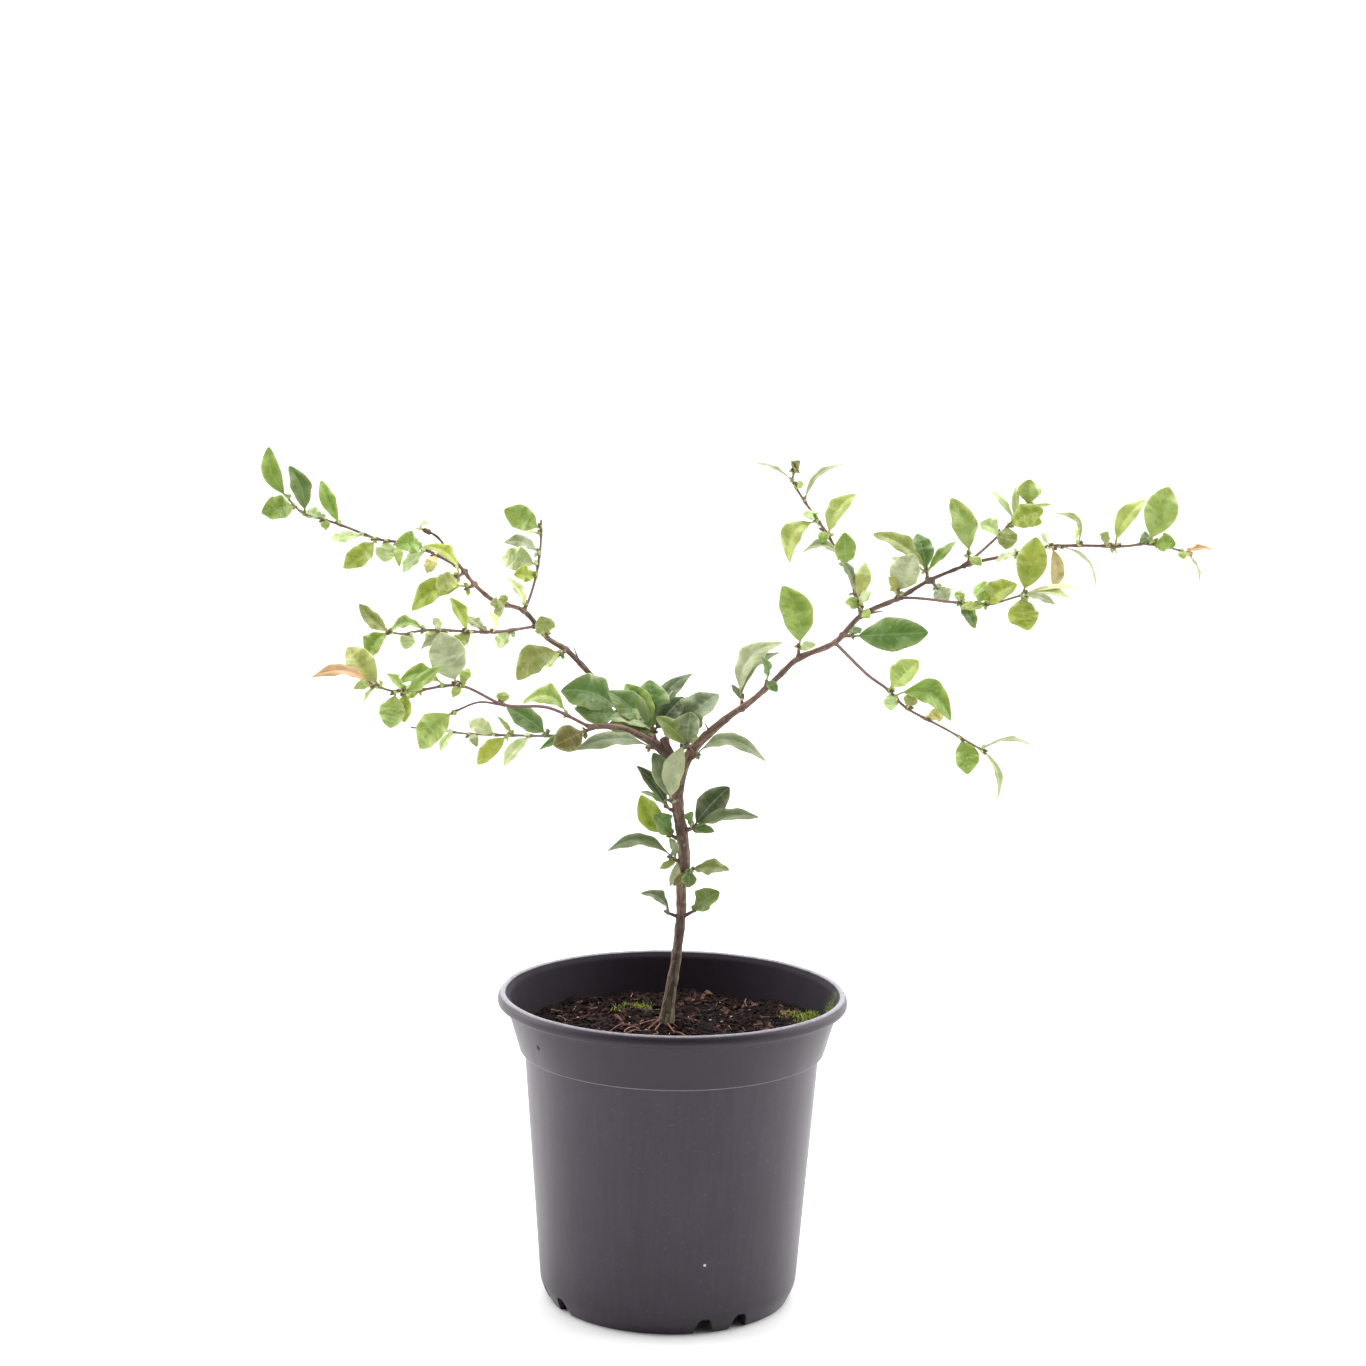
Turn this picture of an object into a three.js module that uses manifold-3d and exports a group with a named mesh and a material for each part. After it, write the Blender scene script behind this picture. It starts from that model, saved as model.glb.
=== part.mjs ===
// Young flowering quince in leaf, trained as a small bonsai and standing in its nursery pot.
// Millimetres, +Z up. The origin is the centre of the pot's underside.
import * as THREE from 'three';
import { mergeVertices } from 'three/addons/utils/BufferGeometryUtils.js';
import Module from 'manifold-3d';

// Driving dimensions of the pot
const rimRadius = 75;
const potHeight = 134;
const collarDrop = 25.4;
const collarTopRadius = 70.9;
const collarFootRadius = 65.3;
const bodyTopRadius = 63.2;
const baseRadius = 55.4;
const footRingOuter = 52;
const footRingInner = 49.5;
const padRadius = 22;
const recessHeight = 6;
const wall = 1.3;
const floorThickness = 1.6;
const rimBandHeight = 3.6;
const rimLip = 1.6;
const rimSill = 2.4;
const collarStep = 0.6;
const footChamfer = 7;
const potSides = 32;
const notchPairs = 4;
const notchFirstAngle = 25.5;
const notchSpread = 8.75;
const notchWidth = 8.5;
const notchHeight = 7;
const notchDepth = 12;

// Driving dimensions of the soil and the plant
const soilLevel = 117;
const soilSides = 18;
const soilRings = [65, 55, 40, 24, 10, 0];
const hummockHeight = 0.9;
const crumbHeight = 0.7;
const bankHeight = 2.2;
const clearance = 0.3;
const bladeThickness = 0.62;
const petioleHalfWidth = 0.5;
const foldRise = 0.22;
const edgeWave = 0.05;
const smallLeafWidth = 7.6;
const woodSides = 7;
const twigSides = 5;

// Share of the leaf's length at each station, and the share of its half width there
const largeOutline = [[0, 0], [0.13, 0], [0.32, 0.72], [0.57, 1], [0.81, 0.74], [1, 0]];
const smallOutline = [[0, 0], [0.32, 0.74], [0.66, 0.9], [1, 0]];

const front = new THREE.Vector3(0, -1, 0);
const upward = new THREE.Vector3(0, 0, 1);

const wasm = await Module();
wasm.setup();

// Older wood: each limb is a list of centre-line points with the radius there
const woodLimbs = [
  { // trunk and right limb
    line: [
      [-5, 1, 90, 4.4], [-4, 0, 106, 5], [-3, 0, 114, 4.1], [-2, 1, 126, 3.1], [1, 0, 146, 2.7],
      [3, -1, 167, 2.6], [3, -1, 180, 2.8], [4, 0, 190, 3.2], [3, 1, 201, 3.1], [1, 1, 213, 3],
      [1, 0, 222, 3.1], [3, 0, 231, 3], [8, 0, 240, 2.6], [21, -4, 253, 2], [31, -8, 261, 1.7],
      [41, -12, 271, 1.6], [50, -14, 280, 1.7], [65, -14, 287, 1.6], [76, -10, 298, 1.5],
      [92, -4, 305, 1.4], [105, 2, 312, 1.2], [123, 8, 319, 1.05],
    ],
  },
  { // left limb
    line: [
      [1, 0, 222, 2.8], [-3, 4, 233, 2.5], [-9, 7, 240, 2.3], [-24, 12, 253, 1.8], [-36, 16, 266, 1.65],
      [-47, 18, 277, 1.55], [-56, 17, 283, 1.55], [-66, 12, 295, 1.4], [-77, 6, 299, 1.3],
      [-86, 2, 307, 1.2], [-95, -2, 319, 1], [-101, -4, 327, 0.85], [-106, -5, 330, 0.75],
    ],
  },
  { // low left limb
    line: [
      [1, -1, 225, 2.4], [-6, -4, 238, 2.1], [-18, -10, 247, 1.8], [-27, -13, 250, 1.6],
      [-37, -15, 250, 1.5],
    ],
  },
  { line: [[2, 0, 228, 2.4], [-3, -3, 238, 2.1], [-6, -4, 244, 1.9]] }, // pruned stub
  { line: [[-4, 0, 110, 3.4], [-11, -4, 112, 2.4], [-20, -7, 107, 1.4]] }, // left root
];

// Leafy shoots and leaf clusters. stems: centre-line points. radii: at the foot and at the tip.
// leaves: place on the stem in points, reach x, y, z from there to the tip, width, turn of the
// upper side from the sky (0) to the front (90), bend as a share of the length, and the same
// for a sideways bow where the leaf has one.
const sprigs = [
  {
    name: 'far_left_shoot', colour: 'fresh', stems: [{
      radii: [0.9, 0.6],
      points: [
        [-93, -2, 315], [-108, 8, 321], [-119, 14, 323], [-129, 18, 324], [-142, 24, 328],
        [-152, 26, 331], [-161, 28, 333], [-165, 30, 336], [-168, 31, 339],
      ],
      leaves: [
        [8, -9, 2, 22.5, 8.5, 75, 0.1, -0.14], [6, -5.5, -5, 21, 9.5, 70, 0.1, 0.06],
        [7, -13.5, -8, -2, 11.5, 65, 0.2], [5, -10, 6, 3, 6.5, 50, 0.1],
        [4.3, -8.5, 3, 19, 7, 60, 0.1, -0.05], [5, 1, -4, -4, 4.5, 50, 0.1],
        [3.4, -16, 6, -2, 6.5, 45, 0.12, -0.12], [3, -13.5, -6, -12, 10, 65, 0.14, -0.1],
        [2.5, -1, -5, -8.5, 9.5, 65, 0.1], [2, 1, -9, -9, 4, 60, 0.1],
        [1.1, -10, -9, 2, 10.5, 60, 0.2], [0.9, -10.5, 2, -9.5, 7, 55, 0.1],
        [0.6, -3.5, -6, -7, 6, 50, 0.1],
      ],
    }],
  },
  {
    name: 'left_tip_leaves', colour: 'pale', stems: [{
      radii: [0.8, 0.6],
      points: [
        [-105, -5, 329.5], [-109, -5, 331],
      ],
      leaves: [
        [1, 1, -2, -1, 3, 40, 0.3], [1, 5, 3, 1.5, 3, 30, 0.2],
      ],
    }],
  },
  {
    name: 'left_limb_bright_leaves', colour: 'bright', stems: [{
      radii: [1.1, 0.8],
      points: [
        [-90, 0, 312.5], [-92, -3.5, 311],
      ],
      leaves: [
        [1, -14.5, -7, 13, 7, 45, 0.15, 0.12], [1, -9, -6, -4.5, 9, 60, 0.1],
      ],
    }],
  },
  {
    name: 'left_fan_leaf', colour: 'bright', stems: [{
      radii: [1.2, 0.9],
      points: [
        [-86, 2, 307], [-88, -1, 306],
      ],
      leaves: [
        [1, -24, -4, -9.5, 11, 60, 0.15, 0.12],
      ],
    }],
  },
  {
    name: 'left_bud_leaves', colour: 'dull', stems: [{
      radii: [1.2, 0.9],
      points: [
        [-73, 8, 298], [-73.5, 5, 298],
      ],
      leaves: [
        [1, -1, 2, 4.5, 4.5, 50, 0.1], [1, -6, -3, 1, 6, 50, 0.1], [1, -4, -4, -5.5, 4.5, 60, 0.1],
      ],
    }],
  },
  {
    name: 'upright_left_shoot', colour: 'fresh', stems: [{
      radii: [0.85, 0.6],
      points: [
        [-66, 12, 295], [-64, 16, 299], [-62, 22, 306], [-61, 28, 312], [-60, 32, 321],
        [-60, 34, 328], [-60, 34, 332],
      ],
      leaves: [
        [5, -15.5, -5, 8.5, 11.5, 70, 0.1], [4.6, -7, 4, 0, 3, 20, 0.1],
        [3.6, -15, -4, 5.5, 7.5, 40, 0.12, 0.1], [3.1, -16, 4, 3, 11.5, 65, 0.1],
        [2.4, -9, -6, 1.5, 7.5, 60, 0.12], [0.5, -7.5, -4, 12.5, 5.5, 50, 0.1],
      ],
    }],
  },
  {
    name: 'left_hugging_leaf', colour: 'dull', stems: [{
      radii: [1.3, 1],
      points: [
        [-56, 17, 283], [-56, 13.5, 284],
      ],
      leaves: [
        [1, -2.5, -4, 9, 9.5, 80, 0.12],
      ],
    }],
  },
  {
    name: 'left_folded_leaf', colour: 'dull', stems: [{
      radii: [1.3, 1],
      points: [
        [-48, 18, 278], [-49, 14.5, 277],
      ],
      leaves: [
        [1, -19.5, -6, -11, 13, 65, 0.12, 0.16], [1, -8, 1, -7, 6, 40, 0.1],
      ],
    }],
  },
  {
    name: 'middle_left_shoot', colour: 'fresh', stems: [{
      radii: [0.9, 0.6],
      points: [
        [-61, 15, 288], [-77, -6, 288], [-94, -20, 290], [-104, -28, 291], [-112, -33, 290],
        [-117, -37, 291],
      ],
      leaves: [
        [5, -12.5, -3, 12, 7, 60, 0.1, -0.13], [5, -8.5, -6, -10.5, 9, 55, 0.15, 0.14],
        [3, -14.5, -4, -0.5, 7, 35, 0.15, 0.18], [3.6, -2.5, -4, -6.5, 7, 70, 0.1],
        [1.6, -6.5, -4, 14.5, 6.5, 60, 0.1], [2.35, -3, -3, 5.5, 5, 60, 0.12],
        [1.5, -8, -6, -7, 7, 50, 0.1], [0.55, -7, 3, -8, 8, 60, 0.1],
        [1.2, -8.5, 5, 6, 5.5, 40, 0.1], [2.1, -10.5, -5, -7, 4.5, 60, 0.1],
        [2.3, -7, 5, -7, 7, 60, 0.1], [1, -2, -5, 10, 4.5, 50, 0.15, -0.1],
      ],
    }],
  },
  {
    name: 'front_left_shoot', colour: 'fresh', stems: [{
      radii: [1, 0.6],
      points: [
        [-36.5, -15, 250], [-53, -30, 260], [-70, -44, 263], [-87, -54, 272], [-103, -61, 271],
        [-113, -65, 271], [-121, -68, 274],
      ],
      leaves: [
        [5.6, -14, 5, 15.5, 11.5, 70, 0.1], [6, -23, -7, 4, 6.5, 40, 0.12, 0.1],
        [6, -7, -5, -1, 4.5, 50, 0.1], [5.8, -5, -2, -6, 2.5, 30, 0.1],
        [3.4, -17.5, -5, 2, 8, 60, 0.12, 0.22], [3.9, -9, 5, -3, 7, 60, 0.1],
        [4.6, -5.5, -6, 8, 5, 50, 0.1], [4.9, -2, -3, -14.5, 11, 70, 0.1],
        [4.5, 0, -4, -12, 6.5, 65, 0.1], [3, 3, 3, 7, 5, 60, 0.1], [3, -3, -5, -4, 4.5, 50, 0.1],
        [3.1, -6.5, -1, 21.5, 16, 75, 0.08], [2.05, 0, 3, 5, 6, 50, 0.1],
        [0.55, -19, 4, 4.5, 10, 50, 0.12, 0.26], [4.5, 14.5, -6, 11.5, 6.5, 60, 0.1, 0.1],
      ],
    }, {
      radii: [0.65, 0.6],
      points: [
        [-71, -44.5, 263], [-80, -51, 265], [-89, -56, 262],
      ],
      leaves: [
        [2, -14, -4, -15, 12.5, 70, 0.12, 0.06],
      ],
    }],
  },
  {
    name: 'low_left_shoot', colour: 'fresh', stems: [{
      radii: [0.9, 0.6],
      points: [
        [-32, -14.3, 250], [-40, -10, 247], [-52, -3, 244], [-66, 8, 242], [-89, 22, 240],
        [-103, 31, 240], [-116, 37, 240],
      ],
      leaves: [
        [4.5, -5.5, -5, -7.5, 4.5, 40, 0.1], [3.5, -12, 4, 5, 8, 60, 0.1],
        [2.2, -17, -5, 13, 10.5, 65, 0.1], [3.25, -13.5, -5, -12, 8, 65, 0.1, 0.05],
        [2.75, -11.5, -4, -12.5, 6.5, 55, 0.15], [0.8, -13, -6, -5.5, 12.5, 70, 0.12],
        [1.3, -14, -6, -6, 4, 55, 0.1], [3.2, -6, -3, 8.5, 2.6, 60, 0.1],
        [4, 3.5, -6, -4.5, 4.5, 55, 0.15],
      ],
    }],
  },
  {
    name: 'crown_outer_leaf', colour: 'deep', stems: [{
      radii: [1.4, 1],
      points: [
        [-24, 12, 253], [-25, 8, 253],
      ],
      leaves: [
        [1, -24, -8, 10, 17, 60, 0.16, 0.06], [1, -18, -12, 3, 11, 60, 0.12, -0.12],
      ],
    }],
  },
  {
    name: 'crown_left_leaves', colour: 'deep', stems: [{
      radii: [1.6, 1.1],
      points: [
        [-9, 7, 240], [-10, 3, 245],
      ],
      leaves: [
        [1, -19, -2, 18, 12.5, 65, 0.12], [1, -2, 5, 22, 16, 75, 0.08],
        [1, -12, 3, 20.5, 12, 70, 0.08], [0.9, -18.5, -9, 8, 8.5, 45, 0.15, 0.05],
        [1, 12.5, 1, 15.5, 11, 65, 0.1], [0.9, -20, -6, 3.5, 10, 60, 0.12, 0.1],
      ],
    }],
  },
  {
    name: 'crown_arching_leaf', colour: 'grey', stems: [{
      radii: [1.4, 1],
      points: [
        [-8, -5.5, 240], [-11, -8.5, 240.5],
      ],
      leaves: [
        [1, -30.5, -13, 1.5, 8.5, 40, 0.18],
      ],
    }],
  },
  {
    name: 'crown_pointed_leaf', colour: 'deep', stems: [{
      radii: [1.4, 1],
      points: [
        [-3, 4, 233], [-4, 11, 242],
      ],
      leaves: [
        [1, 10, 5, 27, 9.5, 60, 0.15, -0.2], [0.8, 1, -3, 22.5, 4.5, 40, 0.12, -0.15],
      ],
    }],
  },
  {
    name: 'crown_right_leaves', colour: 'grey', stems: [{
      radii: [1.6, 1.1],
      points: [
        [3, 0, 231], [2, 5, 240],
      ],
      leaves: [
        [1, 15, 0, 22, 17, 50, 0.22],
      ],
    }],
  },
  {
    name: 'crown_front_leaves', colour: 'deep', stems: [{
      radii: [1.6, 1.1],
      points: [
        [7, 0, 238], [5, -4.5, 240],
      ],
      leaves: [
        [1, 0.5, -2, 15.5, 14, 72, 0.1], [1, -13.5, -2, 13.5, 8.5, 65, 0.1],
      ],
    }],
  },
  {
    name: 'crown_right_arching_leaf', colour: 'grey', stems: [{
      radii: [1.3, 1],
      points: [
        [4, 0, 233], [8, -4, 236.5],
      ],
      leaves: [
        [1, 29.5, -7, 0, 8.5, 40, 0.38],
      ],
    }],
  },
  {
    name: 'trunk_front_leaves', colour: 'grey', stems: [{
      radii: [1.6, 1.1],
      points: [
        [1, 0, 217], [-2, -5.5, 217],
      ],
      leaves: [
        [1, 4, -4, 24, 15.5, 75, 0.1], [1, -7.5, 0, 21, 9.5, 70, 0.1],
      ],
    }],
  },
  {
    name: 'trunk_dark_narrow_leaves', colour: 'deep', stems: [{
      radii: [1.4, 1],
      points: [
        [1, 1, 211], [-3, 0, 213],
      ],
      leaves: [
        [1, -13.5, -1, 18.5, 7, 60, 0.1], [0.9, -12.5, 3, 7, 4, 30, 0.15],
      ],
    }],
  },
  {
    name: 'trunk_bright_leaf', colour: 'bright', stems: [{
      radii: [1.5, 1],
      points: [
        [3, 1, 199], [-1.5, 1.5, 201],
      ],
      leaves: [
        [1, -13.5, 3, 17, 11, 70, 0.1, -0.12], [1, -7.5, -6, 10, 10, 60, 0.1],
      ],
    }],
  },
  {
    name: 'trunk_round_leaves', colour: 'deep', stems: [{
      radii: [1.6, 1.1],
      points: [
        [3, 1, 203], [7.5, -1, 205],
      ],
      leaves: [
        [1, 15, 0, 18, 12.5, 75, 0.1, -0.04], [1, 27.5, -7, 7, 7.5, 40, 0.15],
        [0.9, 0, -4, 8, 7, 60, 0.1], [0.9, 9.5, -5, 0, 5, 50, 0.1],
      ],
    }],
  },
  {
    name: 'trunk_left_leaf', colour: 'grey', stems: [{
      radii: [1.5, 1],
      points: [
        [4, 0, 189], [-1, -2, 192],
      ],
      leaves: [
        [1, -27.5, -4, 4, 7.5, 40, 0.2, 0.12], [0.8, -2, -4, 10, 5.5, 60, 0.1],
        [0.6, -3, -3, -10.5, 4.5, 70, 0.1, -0.1], [0.6, -7.5, -3, -3, 4, 50, 0.1],
      ],
    }],
  },
  {
    name: 'trunk_flat_leaves', colour: 'dull', stems: [{
      radii: [1.5, 1],
      points: [
        [3, -1, 184], [6.5, -4.5, 187.5],
      ],
      leaves: [
        [1, 16.5, -6, 2, 9, 35, 0.08], [1, -0.5, -3, -7, 7, 60, 0.1],
        [0.7, -6, -3, -5.5, 4, 60, 0.1],
      ],
    }],
  },
  {
    name: 'trunk_low_left_leaf', colour: 'grey', stems: [{
      radii: [1.3, 0.9],
      points: [
        [3, -1, 166], [-2, -2, 168],
      ],
      leaves: [
        [1, -12, -3, 9.5, 6.5, 40, 0.18, 0.12],
      ],
    }],
  },
  {
    name: 'trunk_low_right_leaf', colour: 'bright', stems: [{
      radii: [1.3, 0.9],
      points: [
        [3, -1, 166], [8, -2, 169],
      ],
      leaves: [
        [1, 11, -5, 10, 10.5, 60, 0.1],
      ],
    }],
  },
  {
    name: 'right_pair_leaves', colour: 'grey', stems: [{
      radii: [1.3, 0.9],
      points: [
        [27, -6.5, 257], [27, -6, 261],
      ],
      leaves: [
        [1, 16, -4, 25.5, 11, 55, 0.15, -0.2], [0.9, 15.5, 5, 20.5, 6, 40, 0.15, -0.14],
        [0.9, -4.5, 1, 7, 3, 60, 0.1],
      ],
    }],
  },
  {
    name: 'right_small_dark_leaves', colour: 'deep', stems: [{
      radii: [1.3, 0.9],
      points: [
        [37, -10.5, 267], [37, -12, 270.5],
      ],
      leaves: [
        [1, -2, -8, 10.5, 5.5, 60, 0.1], [0.9, 4.5, -4, -4, 5, 50, 0.1],
      ],
    }],
  },
  {
    name: 'right_large_leaf', colour: 'fresh', stems: [{
      radii: [1.3, 0.9],
      points: [
        [50, -14, 280], [50, -15, 284],
      ],
      leaves: [
        [1, -7, 0, 26.5, 14.5, 78, 0.06, 0.09], [0.9, 7, -3, 3, 4.5, 60, 0.1],
      ],
    }],
  },
  {
    name: 'right_broad_leaf', colour: 'deep', stems: [{
      radii: [1.3, 0.9],
      points: [
        [68, -13, 290], [71, -16, 290],
      ],
      leaves: [
        [1, 32, -6, 3, 15, 70, 0.06], [0.8, 6, 2, 3, 4.5, 40, 0.1],
      ],
    }],
  },
  {
    name: 'right_pale_leaves', colour: 'pale', stems: [{
      radii: [1.3, 0.9],
      points: [
        [91, -4.5, 304.5], [91, -7.5, 307],
      ],
      leaves: [
        [1, 6, -3, 17, 14, 70, 0.1], [1, -4, -4, 7.5, 7, 60, 0.1],
      ],
    }],
  },
  {
    name: 'right_dark_leaves', colour: 'deep', stems: [{
      radii: [1.2, 0.9],
      points: [
        [104, 1.5, 311.5], [104, 4, 315],
      ],
      leaves: [
        [1, -23, -2, 16.5, 9, 50, 0.1, 0.05], [1, -4, 6, 16, 10, 65, 0.1],
        [1, 12, 5, 13, 5, 45, 0.12], [0.9, -15, 9, 6, 4, 40, 0.1],
      ],
    }],
  },
  {
    name: 'right_under_leaf', colour: 'deep', stems: [{
      radii: [1.2, 0.9],
      points: [
        [106, 2, 312], [107, -1, 310],
      ],
      leaves: [
        [1, 5, -4, -6.5, 8.5, 60, 0.1],
      ],
    }],
  },
  {
    name: 'right_oblong_leaf', colour: 'fresh', stems: [{
      radii: [1.1, 0.8],
      points: [
        [122, 7, 318.5], [121.5, 6, 322],
      ],
      leaves: [
        [1, -8, -1, 24.5, 11.5, 75, 0.06, 0.05], [0.9, 5, -5, -3, 5, 50, 0.1],
      ],
    }],
  },
  {
    name: 'right_upright_shoot', colour: 'fresh', stems: [{
      radii: [1, 0.6],
      points: [
        [76, -10, 298], [74, -2, 305], [71, 8, 314], [65, 16, 325], [59, 22, 334], [53, 27, 342],
        [48, 30, 350], [48, 31, 354],
      ],
      leaves: [
        [7, 2.5, -3, 5.5, 6.5, 60, 0.1], [7, -1.5, -2, 5.5, 5.5, 30, 0.1],
        [6, -16, -4, 9, 3, 25, 0.1, -0.06], [5, 15.5, 3, 16.5, 3.5, 40, 0.15, -0.1],
        [5.7, 3, -4, 2, 4.5, 50, 0.1], [3.3, 10.5, -4, 19, 9, 65, 0.1, -0.13],
        [4, -12.5, -4, -17, 10, 60, 0.3, 0.22], [4.2, -6, -5, 1.5, 5.5, 50, 0.1],
        [3.6, -1.5, -6, -5, 5, 60, 0.1], [2.2, -1, -5, 15, 10, 85, 0.08],
        [2.5, -16.5, 4, 2, 5.5, 40, 0.2, 0.18], [1.1, -6, -8, 15, 6, 55, 0.1],
        [0.7, 3, 5, 16.5, 7, 50, 0.2, 0.08], [0.5, -6, -4, 2, 6, 50, 0.1],
        [0.5, 4.5, -4, 6.5, 6, 50, 0.1], [0.25, 4, -5, -2, 5, 60, 0.1],
      ],
    }],
  },
  {
    name: 'right_hanging_shoot', colour: 'fresh', stems: [{
      radii: [1, 0.6],
      points: [
        [65, -14, 287], [77, -34, 277], [85, -42, 272], [93, -48, 265], [108, -55, 258],
        [122, -62, 251],
      ],
      leaves: [
        [2.1, 11.5, -3, 13, 11, 65, 0.1], [2.2, 0, -4, -7, 6.5, 60, 0.1],
        [2.4, 23, -6, -8.5, 11.5, 65, 0.1, -0.25], [3, 2.5, 3, 5.5, 6.5, 60, 0.1],
        [3.5, 8, 3, 1, 6.5, 50, 0.1], [4.4, 3.5, -4, -14.5, 10.5, 70, 0.1, -0.06],
        [5, 22.5, 5, 0, 3.5, 25, 0.22], [5, 7, -4, -19, 3.5, 40, 0.1, -0.12],
      ],
    }],
  },
  {
    name: 'right_low_shoot', colour: 'fresh', stems: [{
      radii: [0.9, 0.6],
      points: [
        [92, -4, 305], [100, -14, 306], [115, -28, 306], [125, -34, 306], [139, -40, 311],
      ],
      leaves: [
        [2, 0, 3, 5, 5, 50, 0.1], [1.95, 7, -4, -10, 6.5, 55, 0.12, -0.05],
        [2.1, 3, -5, -2, 6, 50, 0.1], [3.3, -8.5, 4, 6.5, 11, 60, 0.25],
        [2.9, 13, -5, 9.5, 10.5, 60, 0.2], [3, -7, -7, -1, 4.5, 40, 0.1],
        [4, 2.5, -6, -13.5, 13, 70, 0.1, 0.12], [4, 5.5, 4, 23.5, 13, 75, 0.06, 0.03],
        [4, 19, -1, 0, 5, 40, 0.12], [4, 12.5, -7, -2.5, 4.5, 40, 0.12],
        [4, 26.5, 7, 2, 3.5, 25, 0.15, 0.1],
      ],
    }],
  },
  {
    name: 'right_top_shoot', colour: 'fresh', stems: [{
      radii: [0.9, 0.6],
      points: [
        [120, 7, 318], [130, 17, 325], [140, 28, 333], [149, 34, 342],
      ],
      leaves: [
        [3, 0, -3, 11, 10, 80, 0.1], [3, 6, 4, 7, 4.5, 50, 0.2], [2, 14, -7, 8, 11, 65, 0.1],
        [2, -1.5, -8, -9, 9.5, 70, 0.1], [1.6, -9, -4, 5, 8.5, 55, 0.2],
        [2.3, 1, 4, 14, 3.5, 50, 0.1], [2.3, -9, 5, 12, 3.5, 50, 0.1],
        [2.6, 10, 3, 3, 4.5, 40, 0.1], [2.2, 17, 4, 8, 3.5, 40, 0.1],
        [2.35, 11, -5, -1, 8, 60, 0.12],
      ],
    }],
  },
  {
    name: 'right_tip_shoot', colour: 'fresh', stems: [{
      radii: [1, 0.6],
      points: [
        [123, 8, 319], [143, 4, 324], [153, 0, 327], [166, -2, 328], [185, -2, 328], [195, 0, 329],
        [206, 4, 327], [213, 6, 325],
      ],
      leaves: [
        [7, 10, -2, 2, 3.5, 40, 0.15], [7, 7, 3, -13, 3, 40, 0.12], [6.6, 1, -4, -3, 4.5, 50, 0.1],
        [5.1, 8, 3, 24, 14.5, 75, 0.06], [5.3, 8, -6, 1, 8.5, 60, 0.1], [4.7, 6, 6, 3, 7, 50, 0.1],
        [3.8, 12.5, 4, 19.5, 8, 65, 0.1, -0.1], [3.6, 0, -4, 6.5, 6.5, 60, 0.1],
        [3.7, 3, 4, -3, 4.5, 50, 0.1], [3, -11, 3, 13, 4, 40, 0.3, 0.22],
        [3, 0, -4, 8, 3.5, 50, 0.1], [2.2, 1.5, -3, -18, 6.5, 65, 0.1, -0.08],
        [2.4, 17.5, 4, -21.5, 3.5, 30, 0.2, -0.1], [2.1, -4, -5, 6, 4.5, 50, 0.1],
        [0.9, -9, -5, -3, 4, 30, 0.1],
      ],
    }],
  },
];

const leafColours = {
  fresh: 0x86a84a, bright: 0x9dbb3f, pale: 0xb3c486, deep: 0x4f7440, grey: 0x6d8468, dull: 0x7d7c3e,
};

// A closed solid from a geometry whose shared vertices are merged
function toSolid(geometry) {
  geometry.deleteAttribute('normal');
  geometry.deleteAttribute('uv');
  const merged = mergeVertices(geometry, 1e-3);
  const corners = merged.index.array;
  const kept = [];
  for (let i = 0; i < corners.length; i += 3) {
    const [a, b, c] = [corners[i], corners[i + 1], corners[i + 2]];
    if (a !== b && b !== c && c !== a) kept.push(a, b, c);
  }
  const mesh = new wasm.Mesh({
    numProp: 3,
    vertProperties: new Float32Array(merged.attributes.position.array),
    triVerts: new Uint32Array(kept),
  });
  return new wasm.Manifold(mesh);
}

function toGeometry(solid) {
  const mesh = solid.getMesh();
  const geometry = new THREE.BufferGeometry();
  geometry.setAttribute('position', new THREE.BufferAttribute(mesh.vertProperties.slice(), 3));
  geometry.setIndex(new THREE.BufferAttribute(mesh.triVerts.slice(), 1));
  geometry.computeVertexNormals();
  return geometry;
}

function indexedGeometry(positions, triangles) {
  const geometry = new THREE.BufferGeometry();
  geometry.setAttribute('position', new THREE.Float32BufferAttribute(positions, 3));
  geometry.setIndex(triangles);
  return geometry;
}

function curveThrough(points) {
  const vectors = points.map(([x, y, z]) => new THREE.Vector3(x, y, z));
  return new THREE.CatmullRomCurve3(vectors, false, 'catmullrom', 0.5);
}

// A round stem of changing radius along a curve; grow makes it thicker and longer all round
function stemSolid(points, radii, sides, grow) {
  const curve = curveThrough(points);
  const rings = points.length - 1;
  const positions = [];
  const triangles = [];
  let across = new THREE.Vector3(0.3, 1, 0.2);
  for (let ring = 0; ring <= rings; ring++) {
    const t = ring / rings;
    const tangent = curve.getTangent(t);
    const centre = curve.getPoint(t);
    if (ring === 0) centre.addScaledVector(tangent, -grow);
    if (ring === rings) centre.addScaledVector(tangent, grow);
    across = across.clone().addScaledVector(tangent, -across.dot(tangent)).normalize();
    const over = new THREE.Vector3().crossVectors(tangent, across);
    const radius = radii[ring] + grow;
    for (let side = 0; side < sides; side++) {
      const angle = 2 * Math.PI * side / sides;
      const point = centre.clone();
      point.addScaledVector(across, radius * Math.cos(angle));
      point.addScaledVector(over, radius * Math.sin(angle));
      positions.push(point.x, point.y, point.z);
    }
  }
  for (let ring = 0; ring < rings; ring++) {
    for (let side = 0; side < sides; side++) {
      const a = ring * sides + side;
      const b = ring * sides + (side + 1) % sides;
      triangles.push(a, b, b + sides, a, b + sides, a + sides);
    }
  }
  for (let side = 1; side < sides - 1; side++) {
    triangles.push(0, side + 1, side);
    triangles.push(rings * sides, rings * sides + side, rings * sides + side + 1);
  }
  return toSolid(indexedGeometry(positions, triangles));
}

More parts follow.
